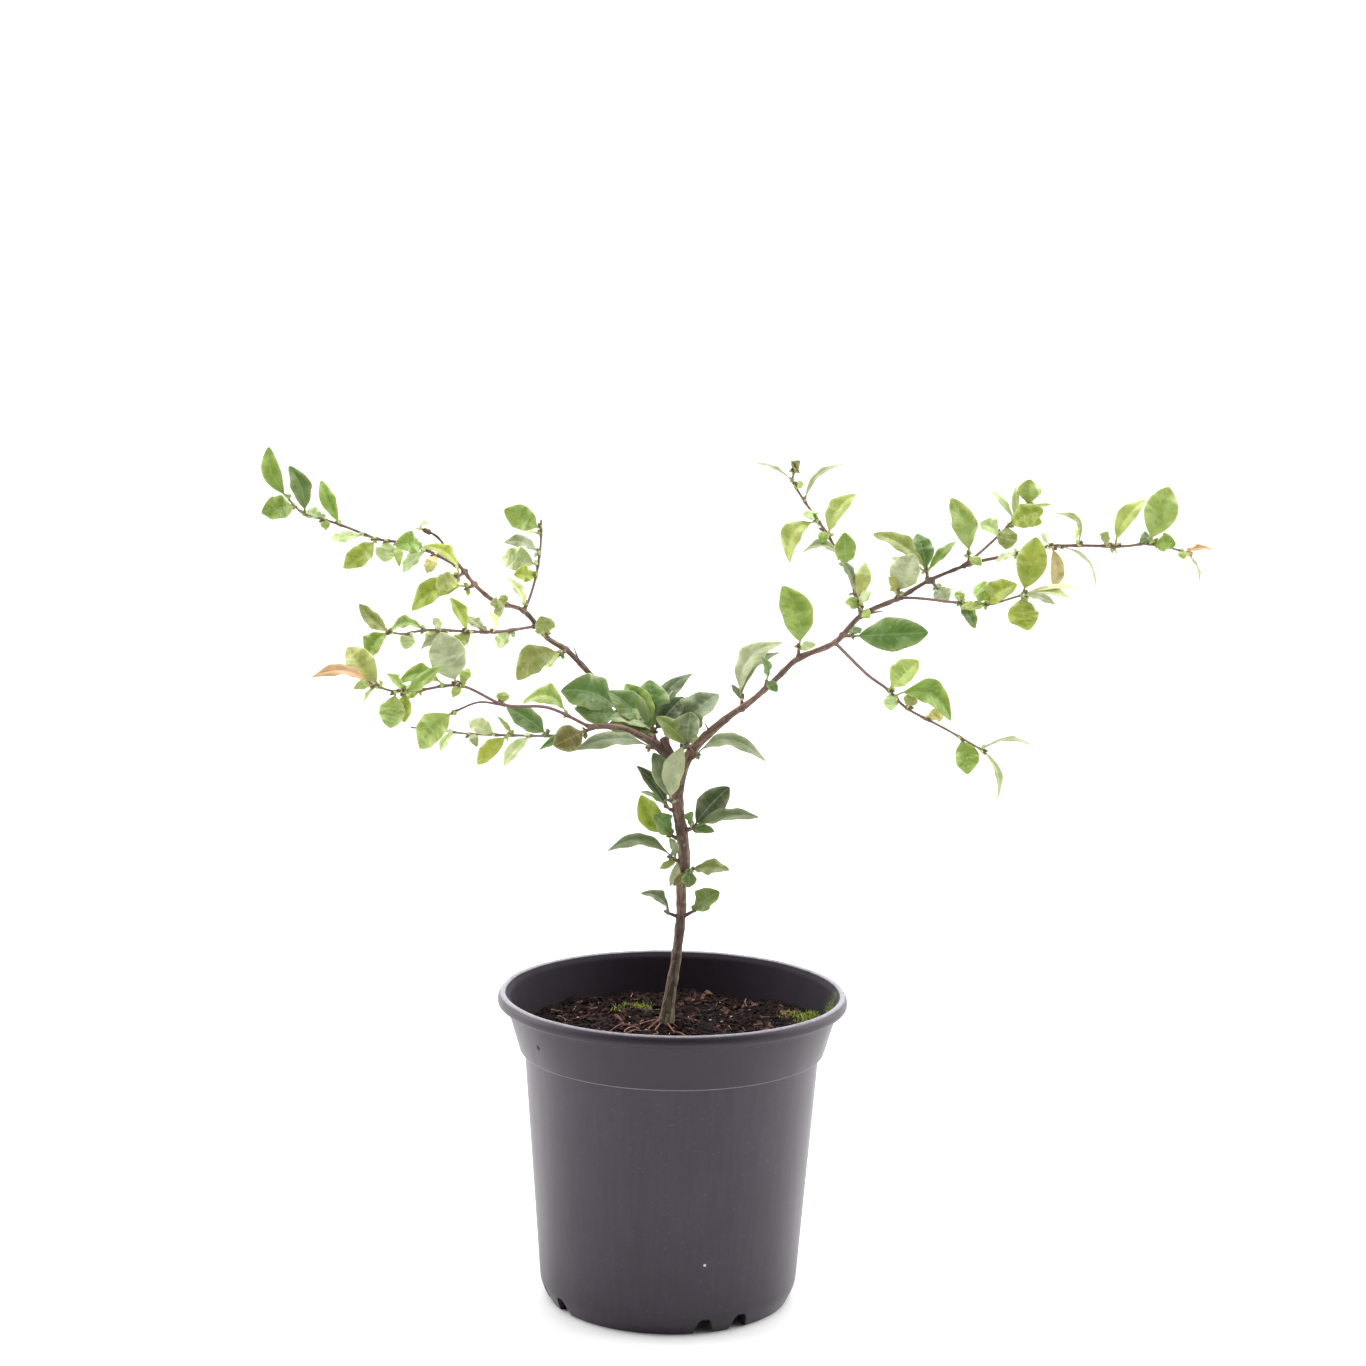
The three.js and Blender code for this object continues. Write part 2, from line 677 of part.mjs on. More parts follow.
// A thin leaf: petiole and blade, folded along the midrib, arched along its length, edges waved
function leafSolid(base, reach, width, roll, bend, sway) {
  const length = reach.length();
  const along = reach.clone().normalize();
  const up = upward.clone().addScaledVector(along, -along.z).normalize();
  const toFront = front.clone().addScaledVector(along, -along.dot(front));
  const side = new THREE.Vector3().crossVectors(along, up);
  const turn = Math.atan2(toFront.dot(side), toFront.dot(up)) * roll / 90;
  const face = up.multiplyScalar(Math.cos(turn)).addScaledVector(side, Math.sin(turn));
  const across = new THREE.Vector3().crossVectors(along, face);
  const isLarge = width > smallLeafWidth;
  const outline = isLarge ? largeOutline : smallOutline;
  const columns = isLarge ? [-1, 0, 1] : [-1, 1];
  const positions = [];
  const triangles = [];
  outline.forEach(([share, spread], station) => {
    const atTip = station === outline.length - 1;
    const halfWidth = atTip ? 0 : Math.max(spread * width / 2, petioleHalfWidth);
    const slope = 4 * bend * (1 - 2 * share);
    const steep = Math.hypot(1, slope);
    const arch = 4 * bend * length * share * (1 - share);
    const bow = 4 * sway * length * share * (1 - share);
    const wave = edgeWave * width * spread * (station % 2 ? 1 : -1);
    for (const surface of [1, -1]) {
      const rise = surface * bladeThickness / 2 / steep;
      for (const edge of columns) {
        const lift = arch + rise + (edge ? foldRise * halfWidth * spread + edge * wave : 0);
        const point = base.clone();
        point.addScaledVector(along, share * length - slope * rise);
        point.addScaledVector(across, edge * halfWidth + bow);
        point.addScaledVector(face, lift);
        positions.push(point.x, point.y, point.z);
      }
    }
  });
  const under = columns.length;
  const next = 2 * under;
  const last = (outline.length - 1) * next;
  const quad = (a, b, c, d) => triangles.push(a, b, c, a, c, d);
  for (let row = 0; row < last; row += next) {
    for (let a = row; a < row + under - 1; a++) {
      quad(a, a + 1, a + 1 + next, a + next);
      quad(a + under + next, a + under + next + 1, a + under + 1, a + under);
    }
    const right = row + under - 1;
    quad(row, row + next, row + next + under, row + under);
    quad(right + under, right + under + next, right + next, right);
  }
  for (let a = 0; a < under - 1; a++) {
    quad(a, a + under, a + under + 1, a + 1);
    quad(last + a, last + a + 1, last + a + under + 1, last + a + under);
  }
  return toSolid(indexedGeometry(positions, triangles));
}

function largestBody(solid) {
  const bodies = solid.decompose();
  return bodies.reduce((best, body) => (body.volume() > best.volume() ? body : best));
}

function potSolid() {
  const collarFoot = potHeight - collarDrop;
  const rimFoot = potHeight - rimLip - rimBandHeight;
  const floorTop = recessHeight + floorThickness;
  const profile = [
    [0, 0], [padRadius, 0], [padRadius + 2, recessHeight], [footRingInner - 1, recessHeight],
    [footRingInner, 0], [footRingOuter, 0], [baseRadius, footChamfer],
    [bodyTopRadius, collarFoot - collarStep / 2], [collarFootRadius, collarFoot + collarStep / 2],
    [collarTopRadius, rimFoot - collarStep / 2], [rimRadius, rimFoot], [rimRadius, potHeight - rimLip],
    [rimRadius - rimLip, potHeight], [collarTopRadius - wall, potHeight - rimSill],
    [collarFootRadius - wall, collarFoot + wall], [bodyTopRadius - wall, collarFoot - collarStep / 2],
    [baseRadius - wall, footChamfer + 2], [baseRadius - 2 * wall, floorTop],
    [padRadius + 3, floorTop], [padRadius + 1, floorThickness], [0, floorThickness],
  ];
  const outline = profile.map(([r, z]) => new THREE.Vector2(r, z));
  const shell = new THREE.LatheGeometry(outline, potSides);
  shell.rotateX(Math.PI / 2);
  let solid = toSolid(shell);
  const notchRadius = footRingInner - 2 + notchDepth / 2;
  for (let pair = 0; pair < notchPairs; pair++) {
    for (const offset of [-notchSpread, notchSpread]) {
      const degrees = -90 + notchFirstAngle + pair * 360 / notchPairs + offset;
      const notch = new THREE.BoxGeometry(notchDepth, notchWidth, 2 * notchHeight);
      notch.translate(notchRadius, 0, 0);
      notch.rotateZ(THREE.MathUtils.degToRad(degrees));
      solid = solid.subtract(toSolid(notch));
    }
  }
  return solid;
}

// Uneven top of the soil: low hummocks, and a bank against the wall at the right
function soilRise(x, y) {
  const hummocks = hummockHeight * Math.sin(x / 9 + 1) * Math.cos(y / 8);
  const crumbs = crumbHeight * Math.sin((x + y) / 5);
  const bank = bankHeight * Math.max(0, x / 60 - 0.5);
  return hummocks + crumbs + bank;
}

function soilSolid(grownWood) {
  const collarFoot = potHeight - collarDrop;
  const floor = recessHeight + floorThickness + clearance;
  const pocketFloor = floorThickness + clearance;
  const inset = wall + 2 * clearance;
  const profile = [
    [0, pocketFloor], [padRadius + 1 - clearance, pocketFloor], [padRadius + 3 - clearance, floor],
    [baseRadius - wall - inset, floor], [baseRadius - inset, footChamfer + 2],
    [bodyTopRadius - inset, collarFoot - collarStep / 2], [collarFootRadius - inset, collarFoot + wall],
    ...soilRings.map((radius) => [radius, soilLevel]),
  ];
  const outline = profile.map(([r, z]) => new THREE.Vector2(r, z));
  const plug = new THREE.LatheGeometry(outline, soilSides);
  plug.rotateX(Math.PI / 2);
  const position = plug.attributes.position;
  for (let i = 0; i < position.count; i++) {
    const [x, y, z] = [position.getX(i), position.getY(i), position.getZ(i)];
    if (z > soilLevel - 0.2) position.setZ(i, z + soilRise(x, y));
  }
  return toSolid(plug).subtract(grownWood);
}

function woodSolid(grow) {
  const limbs = woodLimbs.map(({ line }) => {
    const radii = line.map((point) => point[3]);
    return stemSolid(line, radii, woodSides, grow);
  });
  return limbs.reduce((joined, limb) => joined.add(limb));
}

function sprigSolid(sprig, grownWood) {
  const pieces = [];
  for (const { points, radii, leaves } of sprig.stems) {
    const curve = curveThrough(points);
    const spans = points.length - 1;
    const taper = points.map((_, i) => THREE.MathUtils.lerp(radii[0], radii[1], i / spans));
    pieces.push(stemSolid(points, taper, twigSides, 0));
    for (const [place, x, y, z, width, roll, bend, sway = 0] of leaves) {
      const base = curve.getPoint(place / spans);
      pieces.push(leafSolid(base, new THREE.Vector3(x, y, z), width, roll, bend, sway));
    }
  }
  const joined = pieces.reduce((sum, piece) => sum.add(piece));
  return largestBody(joined.subtract(grownWood));
}

function addPart(group, name, solid, colour, roughness) {
  const material = new THREE.MeshStandardMaterial({ color: colour, roughness, metalness: 0 });
  const mesh = new THREE.Mesh(toGeometry(solid), material);
  mesh.name = name;
  group.add(mesh);
}

const plant = new THREE.Group();
const grownWood = woodSolid(clearance);
addPart(plant, 'pot', potSolid(), 0x3b383d, 0.5);
addPart(plant, 'soil', soilSolid(grownWood), 0x2b1d16, 1);
addPart(plant, 'old_wood', woodSolid(0), 0x5b4038, 0.85);
for (const sprig of sprigs) {
  addPart(plant, sprig.name, sprigSolid(sprig, grownWood), leafColours[sprig.colour], 0.6);
}

export default plant;
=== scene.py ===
# Young flowering quince in leaf, grown as a small bonsai in its nursery pot.
# Everything is in metres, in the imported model's own frame; lists in millimetres are multiplied by mm.
import math

import bpy
import numpy as np
from mathutils import Matrix, Vector, noise


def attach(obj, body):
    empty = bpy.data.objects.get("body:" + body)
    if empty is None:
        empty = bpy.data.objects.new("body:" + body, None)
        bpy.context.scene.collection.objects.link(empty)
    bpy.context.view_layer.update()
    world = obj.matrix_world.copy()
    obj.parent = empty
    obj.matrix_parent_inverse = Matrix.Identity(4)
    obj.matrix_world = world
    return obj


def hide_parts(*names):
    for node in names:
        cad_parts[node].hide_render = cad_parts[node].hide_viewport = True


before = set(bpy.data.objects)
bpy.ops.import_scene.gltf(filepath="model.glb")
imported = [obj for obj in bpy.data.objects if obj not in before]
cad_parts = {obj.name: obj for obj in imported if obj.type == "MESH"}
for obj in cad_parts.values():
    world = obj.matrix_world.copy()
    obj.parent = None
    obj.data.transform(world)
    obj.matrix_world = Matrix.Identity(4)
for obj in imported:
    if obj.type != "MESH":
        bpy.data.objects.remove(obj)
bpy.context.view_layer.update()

mm = 0.001
fullTurn = 2 * math.pi
scene = bpy.context.scene


# Each piece's values are in one dictionary, whose entries also read as attributes
class Settings(dict):
    __getattr__ = dict.__getitem__


# Colours are written as they look on screen, 0 to 255, and turned into linear light here
def seen(red, green, blue):
    def linear(value):
        value = value / 255
        return value / 12.92 if value <= 0.04045 else ((value + 0.055) / 1.055) ** 2.4
    return (linear(red), linear(green), linear(blue), 1.0)


# An output of a node. Adding to it or multiplying it puts in the node that does so.
class Wire:
    def __init__(self, socket):
        self.socket = socket

    def __add__(self, other):
        return calc("ADD", self, other)

    def __sub__(self, other):
        return calc("SUBTRACT", self, other)

    def __rsub__(self, other):
        return calc("SUBTRACT", other, self)

    def __mul__(self, other):
        return calc("MULTIPLY", self, other)

    __radd__, __rmul__ = __add__, __mul__


# The node tree in hand: newGroup and newMaterial start one, and what follows adds to it
inHand = Settings(tree=None)


def addNode(kind, inputs=None, **settings):
    node = inHand.tree.nodes.new(kind)
    for name, value in settings.items():
        setattr(node, name, value)
    for socket, source in (inputs or {}).items():
        feed(node.inputs[socket], source)
    return node


def feed(socket, source):
    if isinstance(source, Wire):
        inHand.tree.links.new(source.socket, socket)
    else:
        socket.default_value = source


def wire(kind, inputs=None, output=0, **settings):
    return Wire(addNode(kind, inputs, **settings).outputs[output])


def geometry(kind, inputs=None, **settings):
    return wire("GeometryNode" + kind, inputs, **settings)


def calc(operation, *values, clamp=False):
    return wire("ShaderNodeMath", dict(enumerate(values)), operation=operation, use_clamp=clamp)


def vectorCalc(operation, *values, **named):
    output = "Value" if operation == "DISTANCE" else "Vector"  # a distance is one number
    return wire("ShaderNodeVectorMath", {**dict(enumerate(values)), **named}, output, operation=operation)


def combine(x, y, z):
    return wire("ShaderNodeCombineXYZ", {0: x, 1: y, 2: z})


def separate(vector):
    return [Wire(output) for output in addNode("ShaderNodeSeparateXYZ", {0: vector}).outputs[:3]]


def remap(value, low, high, newLow=0.0, newHigh=1.0, kind="SMOOTHSTEP"):
    inputs = {0: value, 1: low, 2: high, 3: newLow, 4: newHigh}
    return wire("ShaderNodeMapRange", inputs, interpolation_type=kind)


def mixColour(factor, a, b, blend="MIX"):
    return wire("ShaderNodeMix", {0: factor, 6: a, 7: b}, 2, data_type="RGBA", blend_type=blend)


def layered(colour, *layers):  # each layer is a share and a tone laid over what is there
    for share, tone in layers:
        colour = mixColour(share, colour, tone)
    return colour


# An input is given by its value, or by its kind where it has none
socketKinds = {int: "Int", float: "Float", tuple: "Vector", str: "String"}


def newGroup(name, kind, inputs, outputs):
    tree = inHand["tree"] = bpy.data.node_groups.new(name, kind)
    for label, value in inputs.items():
        bare = value in ("Geometry", "Material", "Vector")
        socketKind = "NodeSocket" + (value if bare else socketKinds[type(value)])
        socket = tree.interface.new_socket(label, in_out="INPUT", socket_type=socketKind)
        if not bare:
            socket.default_value = value
    for label, socketKind in outputs.items():
        tree.interface.new_socket(label, in_out="OUTPUT", socket_type="NodeSocket" + socketKind)
    given = {output.name: Wire(output) for output in addNode("NodeGroupInput").outputs if output.name}
    return tree, given, addNode("NodeGroupOutput").inputs


def useGroup(group, inputs):
    node = addNode("ShaderNodeGroup", node_tree=group)
    for socket, source in inputs.items():
        feed(node.inputs[socket], source)
    return {output.name: Wire(output) for output in node.outputs}


def newMaterial(name):
    material = bpy.data.materials.new(name)
    material.use_nodes = True
    inHand["tree"] = material.node_tree
    return material


def setShader(inputs, bump=None):
    shader = inHand.tree.nodes["Principled BSDF"]
    if bump:
        normal = wire("ShaderNodeBump", dict(zip(("Height", "Strength", "Distance"), bump)))
        inputs = {**inputs, "Normal": normal}
    for socket, source in inputs.items():
        feed(shader.inputs[socket], source)


def objectPlace():
    return wire("ShaderNodeTexCoord", None, "Object")


def readAttribute(name, output="Fac"):
    return wire("ShaderNodeAttribute", None, output, attribute_name=name)


# Fields and steps in geometry nodes
def readField(name, kind="FLOAT_VECTOR"):
    return geometry("InputNamedAttribute", {0: name}, data_type=kind)


def storeField(shape, name, value, kind, domain):
    inputs = {"Geometry": shape, "Name": name, "Value": value}
    return geometry("StoreNamedAttribute", inputs, data_type=kind, domain=domain)


def setPosition(shape, **place):
    return geometry("SetPosition", {"Geometry": shape, **place})


def coat(shape, material):
    return geometry("SetMaterial", {"Geometry": shape, "Material": material})


# Objects and meshes
def newObject(name, mesh):
    piece = bpy.data.objects.new(name, mesh)
    scene.collection.objects.link(piece)
    return piece


def newMesh(name, points, edges=(), faces=()):
    mesh = bpy.data.meshes.new(name)
    mesh.from_pydata([tuple(point) for point in points], list(edges), list(faces))
    return mesh


def setAttribute(mesh, name, kind, values):
    layer = mesh.attributes.new(name, kind, "POINT")
    field = {"FLOAT_VECTOR": "vector", "FLOAT_COLOR": "color"}.get(kind, "value")
    layer.data.foreach_set(field, np.array(values, dtype=np.int32 if kind == "INT" else np.float32).ravel())


def setFloats(mesh, **columns):
    for name, values in columns.items():
        setAttribute(mesh, name, "FLOAT", values)


def addTree(piece, tree, values):
    modifier = piece.modifiers.new(tree.name, "NODES")
    modifier.node_group = tree
    for item in tree.interface.items_tree:
        if item.item_type == "SOCKET" and item.in_out == "INPUT" and item.name in values:
            modifier[item.identifier] = values[item.name]


def addModifier(piece, kind, **settings):
    modifier = piece.modifiers.new(kind.lower(), kind)
    for name, value in settings.items():
        setattr(modifier, name, value)


# The evaluated shape becomes the object's own plain mesh, with no modifier left on it
def makePlain(piece, material=None):
    bpy.context.view_layer.update()
    graph = bpy.context.evaluated_depsgraph_get()
    plain = bpy.data.meshes.new_from_object(
        piece.evaluated_get(graph), preserve_all_data_layers=True, depsgraph=graph)
    plain.name = piece.name
    piece.modifiers.clear()
    old, piece.data = piece.data, plain
    bpy.data.meshes.remove(old)
    if material:
        plain.materials.clear()
        plain.materials.append(material)
    return plain


def finishPiece(piece, slot, *nodes):
    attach(piece, "root")
    if nodes:
        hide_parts(*nodes)


# Shader groups put out masks or values only, and the shaders stay in the materials
# Broad and fine patches, for colour that is never quite even
mottle, given, result = newGroup("mottle", "ShaderNodeTree", {
    "Vector": "Vector", "Broad Scale": 60.0, "Fine Scale": 900.0, "Stretch": (1, 1, 1),
}, {"Broad": "Float", "Fine": "Float"})
stretched = vectorCalc("MULTIPLY", given["Vector"], given["Stretch"])
for label, detail in (("Broad", 3.0), ("Fine", 2.0)):
    patches = wire("ShaderNodeTexNoise", {
        "Vector": stretched, "Scale": given[label + " Scale"], "Detail": detail})
    feed(result[label], remap(patches, 0.32, 0.68, kind="LINEAR"))

# Dust and dirt that settles on what faces up, in patches
dust, given, result = newGroup("settledDust", "ShaderNodeTree", {
    "Vector": "Vector", "Scale": 120.0, "Amount": 0.5, "Everywhere": 0.2}, {"Mask": "Float"})
upness = separate(wire("ShaderNodeNewGeometry", None, "Normal"))[2]
patches = wire("ShaderNodeTexNoise", {
    "Vector": given["Vector"], "Scale": given["Scale"], "Detail": 6.0, "Roughness": 0.7})
settled = calc("MAXIMUM", remap(upness, 0.0, 0.9), given["Everywhere"])
speckled = settled * remap(patches, 0.42, 0.7)
feed(result["Mask"], calc("MULTIPLY", speckled, given["Amount"], clamp=True))

# The midrib and the side veins of a leaf, from its own coordinates
leafVeins, given, result = newGroup("leafVeins", "ShaderNodeTree", {
    "Across": 0.0, "Along": 0.0, "Pairs": 9.0, "Slant": 0.22,
}, {"Midrib": "Float", "Side Veins": "Float", "Height": "Float"})
offRib = calc("ABSOLUTE", given["Across"])
phase = calc("FRACT", (given["Along"] - given["Slant"] * offRib) * given["Pairs"])
fromVein = 0.5 - calc("ABSOLUTE", phase - 0.5)
sideVeins = remap(fromVein, 0.13, 0.0) * remap(offRib, 0.96, 0.7)
midrib = remap(offRib, 0.1, 0.02)
feed(result["Midrib"], midrib)
feed(result["Side Veins"], sideVeins)
feed(result["Height"], calc("MAXIMUM", midrib, sideVeins))


# Materials
def mottled(broad, fine, vector=None, stretch=(1, 1, 1)):
    patches = useGroup(mottle, {
        "Vector": vector or objectPlace(), "Broad Scale": broad, "Fine Scale": fine, "Stretch": stretch})
    return patches["Broad"], patches["Fine"]


leafFinish = Settings(
    paleUnder=seen(184, 196, 150), underShare=0.5, petiole=seen(136, 118, 74), margin=seen(190, 192, 140),
    lighter=(1.26, 1.18, 1.26, 1.0), darker=(0.56, 0.68, 0.42, 1.0), gloss=0.3, paling=0.24,
    edgePaling=0.2, bumpDepth=0.12 * mm, glow=0.3, glowTint=(0.7, 1.0, 0.25), glowDepth=0.5 * mm)


def makeLeafMaterial(name):
    material = newMaterial(name)
    u, v, _ = separate(wire("ShaderNodeUVMap", uv_map="leafUv"))
    across = u * 2.0 - 1.0
    look = readAttribute("leafLook", "Color")
    broad, fine = mottled(160.0, 1500.0)
    veins = useGroup(leafVeins, {
        "Across": across, "Along": v, "Pairs": leafShape["Vein Pairs"], "Slant": leafShape["Vein Slant"]})
    lighter = mixColour(1.0, look, leafFinish.lighter, "MULTIPLY")
    darker = mixColour(1.0, look, leafFinish.darker, "MULTIPLY")
    blade = mixColour(fine * 0.25, mixColour(broad * 0.7 + 0.1, darker, lighter), lighter)
    ribbed = mixColour(veins["Side Veins"] * 0.3, blade, lighter)
    upper = mixColour(veins["Midrib"] * 0.26, ribbed, leafFinish.paleUnder)
    lower = mixColour(leafFinish.underShare, blade, leafFinish.paleUnder)
    underside = readAttribute("underside")
    faces = mixColour(underside, upper, mixColour(veins["Height"] * 0.3, lower, look))
    offRib = calc("ABSOLUTE", across)
    atMargin = remap(offRib, 0.93, 1.0) * leafFinish.edgePaling + remap(offRib, 0.35, 1.0) * leafFinish.paling
    faces = mixColour(atMargin, faces, leafFinish.margin)
    petioleEnd = separate(readAttribute("leafForm", "Vector"))[0]
    inPetiole = 1.0 - remap(v - petioleEnd, -0.04, 0.06)
    setShader({
        "Base Color": mixColour(inPetiole * 0.6, faces, leafFinish.petiole),
        "Roughness": broad * 0.12 + underside * 0.25 + leafFinish.gloss,
        "Subsurface Weight": leafFinish.glow,
        "Subsurface Radius": leafFinish.glowTint,
        "Subsurface Scale": leafFinish.glowDepth,
    }, (fine * 0.2 + veins["Height"] * (underside * 2.0 - 1.0), 0.6, leafFinish.bumpDepth))
    return material


twigFinish = Settings(young=seen(128, 124, 74), old=seen(96, 66, 60), speck=seen(168, 142, 122))


def makeTwigMaterial(name):
    material = newMaterial(name)
    broad, fine = mottled(300.0, 1800.0)
    age = calc("MULTIPLY_ADD", broad, 0.5, readAttribute("stemAge"), clamp=True)
    colour = mixColour(age, twigFinish.young, twigFinish.old)
    speckled = mixColour(remap(fine, 0.75, 1.0) * 0.5, colour, twigFinish.speck)
    setShader({"Base Color": speckled, "Roughness": 0.5}, (fine, 0.5, 0.15 * mm))
    return material


barkFinish = Settings(
    deep=seen(46, 32, 28), brown=seen(104, 80, 66), rose=seen(166, 132, 112), silver=seen(160, 142, 128),
    lichen=seen(108, 108, 84), lichenTop=158 * mm, lichenFade=35 * mm, furrowDepth=0.5 * mm)


def makeBarkMaterial(name):
    material = newMaterial(name)
    flow = readAttribute("barkFlow", "Vector")
    grain, grit = mottled(240.0, 900.0, flow, (1.0, 1.0, 0.12))
    broad, fine = mottled(70.0, 420.0)
    cells = wire("ShaderNodeTexVoronoi", {
        "Vector": vectorCalc("MULTIPLY", flow, (1.0, 1.0, 0.18)), "Scale": 620.0}, "Distance",
        feature="DISTANCE_TO_EDGE")
    furrows = remap(cells, 0.16, 0.0)
    height = separate(objectPlace())[2]
    lowDown = remap(height, barkFinish.lichenTop, barkFinish.lichenTop - barkFinish.lichenFade)
    colour = layered(
        barkFinish.brown, (broad, barkFinish.rose), (grain * 0.75, barkFinish.deep),
        (remap(fine, 0.6, 0.95) * grit * 0.6, barkFinish.silver), (furrows * 0.35, barkFinish.deep),
        (lowDown * (fine * 0.5 + 0.35), barkFinish.lichen))
    relief = grit * 0.5 + grain - furrows
    setShader({"Base Color": colour, "Roughness": 0.72}, (relief, 0.8, barkFinish.furrowDepth))
    return material


# The pot: one turned shape with a rolled rim, a collar and a notched foot, in black plastic.
# algae: centre, reach and colour. marks: centre, size, colour and how matt each one is; the first mark is a
# dimple's painted shade, a dark spot whose matt share also adds it to the painted shade mask.
pot = Settings(
    rimRadius=75, height=134, collarDrop=25.4, collarTopRadius=70.9, collarFootRadius=65.3,
    bodyTopRadius=63.2, baseRadius=55.4, footRingOuter=52, footRingInner=49.5, padRadius=22,
    recessHeight=6, wall=1.3, floorThickness=1.6, rimBand=3.6, rimLip=1.6, rimSill=2.4,
    collarStep=0.6, footChamfer=7, sides=160, cornerSteps=3, sharpAngle=38,
    notchPairs=4, notchFirstAngle=25.5, notchSpread=8.75, notchWidth=8.5, notchTopWidth=4.6,
    # The step share and the pale scuff colour below paint highlights on the rim's crest and collar step; the
    # scuff colour also serves real scuffs
    notchHeight=7, notchDepth=12, outOfRound=0.25, rimDent=0.3, stepWear=0.6, bandTone=0.8, collarTone=0.7,
    # The collar share lays the band colour on the downward-tilted collar as painted shade; the band colour
    # also darkens the rim's outer band
    outerStain=0.35,
    plastic=seen(33, 25, 35), faded=seen(48, 41, 50), scuffed=seen(146, 142, 152),
    # The inside colour is painted shade inside the pot
    band=seen(17, 10, 19), inside=seen(20, 13, 22), soilStain=seen(44, 32, 28), gloss=0.4,
    glossTint=(0.97, 0.88, 1.0, 1.0), algae=((67, 3, 123), 13, seen(98, 112, 44)),
    marks=[((-55.4, -39.5, 118.5), 1.5, seen(3, 2, 3), 1.0),
           ((15.3, -55.2, 31.5), 0.8, seen(190, 186, 192), 0.0)])


def spotAround(place, centre, size, core):  # 1 in the core, a share of the size, and 0 outside
    away = vectorCalc("DISTANCE", place, tuple(Vector(centre) * mm))
    return remap(away, size * mm, core * size * mm)


def makePotMaterial():
    material = newMaterial("potPlastic")
    place = objectPlace()
    broad, fine = mottled(28.0, 700.0, place)
    streaks, fineStreaks = mottled(90.0, 420.0, place, (1.0, 1.0, 0.08))
    grime = useGroup(dust, {"Vector": place, "Scale": 260.0, "Amount": 0.4, "Everywhere": 0.1})["Mask"]
    # This mask is 1 inside the pot and lower outside: it scales the real soil stain, and inside the pot it is
    # painted shade, a darker colour with less gloss and sheen and more roughness
    inside = readAttribute("nearSoil")
    paintedShade = remap(inside, 0.5, 1.0)
    centre, size, tone = pot.algae
    growth = spotAround(place, centre, size, 0.3) * paintedShade * remap(fine, 0.35, 0.6)
    colour = layered(
        # The pale scuff colour marks real scuffs here and, on the edge lines below, painted highlights
        pot.plastic, (broad * 0.4, pot.faded), (fineStreaks * 0.015, pot.scuffed),
        (remap(fine, 0.93, 1.0) * 0.04, pot.scuffed), (paintedShade, pot.inside),
        # Darker rim band, and painted shade on the collar
        (readAttribute("rimBand"), pot.band), (readAttribute("wornEdge") * (fine * 0.3 + 0.6), pot.scuffed),
        (grime * inside, pot.soilStain), (growth, tone))
    # The dark mark is a dimple's painted shade; its matt share also adds it to the painted shade mask, with
    # less gloss and sheen
    for centre, size, tone, matt in pot.marks:
        spot = spotAround(place, centre, size, 0.5)
        colour = mixColour(spot, colour, tone)
        paintedShade = calc("MAXIMUM", paintedShade, spot * matt)
    setShader({
        "Base Color": colour,
        "Roughness": grime * 0.3 + paintedShade * 0.25 + streaks * 0.05 + pot.gloss,
        "Specular IOR Level": paintedShade * -0.25 + 0.45, "Specular Tint": pot.glossTint,
        "Sheen Weight": paintedShade * -0.12 + 0.12, "Sheen Roughness": 0.35, "Sheen Tint": pot.glossTint,
    }, (fine * 0.3 + fineStreaks, 0.07, 0.06 * mm))
    return material


# Rounds the corners of an open outline; each point is radius, height and corner radius
def roundedOutline(corners, steps):
    outline = []
    for index, (radius, height, corner) in enumerate(corners):
        here = Vector((radius, height))
        if corner == 0 or index in (0, len(corners) - 1):
            outline.append(here)
            continue
        before = Vector(corners[index - 1][:2]) - here
        after = Vector(corners[index + 1][:2]) - here
        cut = min(corner, before.length * 0.45, after.length * 0.45)
        start, end = here + before.normalized() * cut, here + after.normalized() * cut
        for step in range(steps + 1):
            share = step / steps
            outline.append(start.lerp(here, share).lerp(here.lerp(end, share), share))
    return outline


def potHeights():  # the collar's foot and the rim's foot
    return pot.height - pot.collarDrop, pot.height - pot.rimLip - pot.rimBand


def potOutline():  # from the middle of the underside, up the outside and down the inside
    height, wall, sill = pot.height, pot.wall, pot.floorThickness
    collarFoot, rimFoot = potHeights()
    floorTop, halfStep = pot.recessHeight + sill, pot.collarStep / 2
    rim, collar, body = pot.rimRadius, pot.collarTopRadius, pot.bodyTopRadius
    base, pad, ring = pot.baseRadius, pot.padRadius, pot.footRingInner
    return roundedOutline([
        (0, 0, 0), (pad, 0, 0.8), (pad + 2, pot.recessHeight, 1), (ring - 1, pot.recessHeight, 0.8),
        (ring, 0, 0.3), (pot.footRingOuter, 0, 0.8), (base, pot.footChamfer, 2.5),
        (body, collarFoot - halfStep, 0.35), (body + 0.9, collarFoot - 0.15, 0.3),
        (pot.collarFootRadius, collarFoot + halfStep, 0.8), (collar - 0.4, rimFoot - 2.2, 1.2),
        (collar + 0.4, rimFoot - halfStep, 0.6), (rim - 0.5, rimFoot, 0.6), (rim, rimFoot + 1.4, 0.6),
        (rim - 0.35, height - pot.rimLip, 0.9), (rim - 1.7, height, 0.5), (rim - 3.2, height - 0.35, 0.5),
        (collar - wall, height - pot.rimSill, 0.8), (pot.collarFootRadius - wall, collarFoot + wall, 0.6),
        (body - wall, collarFoot - halfStep, 0.6), (base - wall, pot.footChamfer + 2, 1),
        (base - 2 * wall, floorTop, 0.8), (pad + 3, floorTop, 0.6), (pad + 1, sill, 0.6), (0, sill, 0),
    ], pot.cornerSteps)


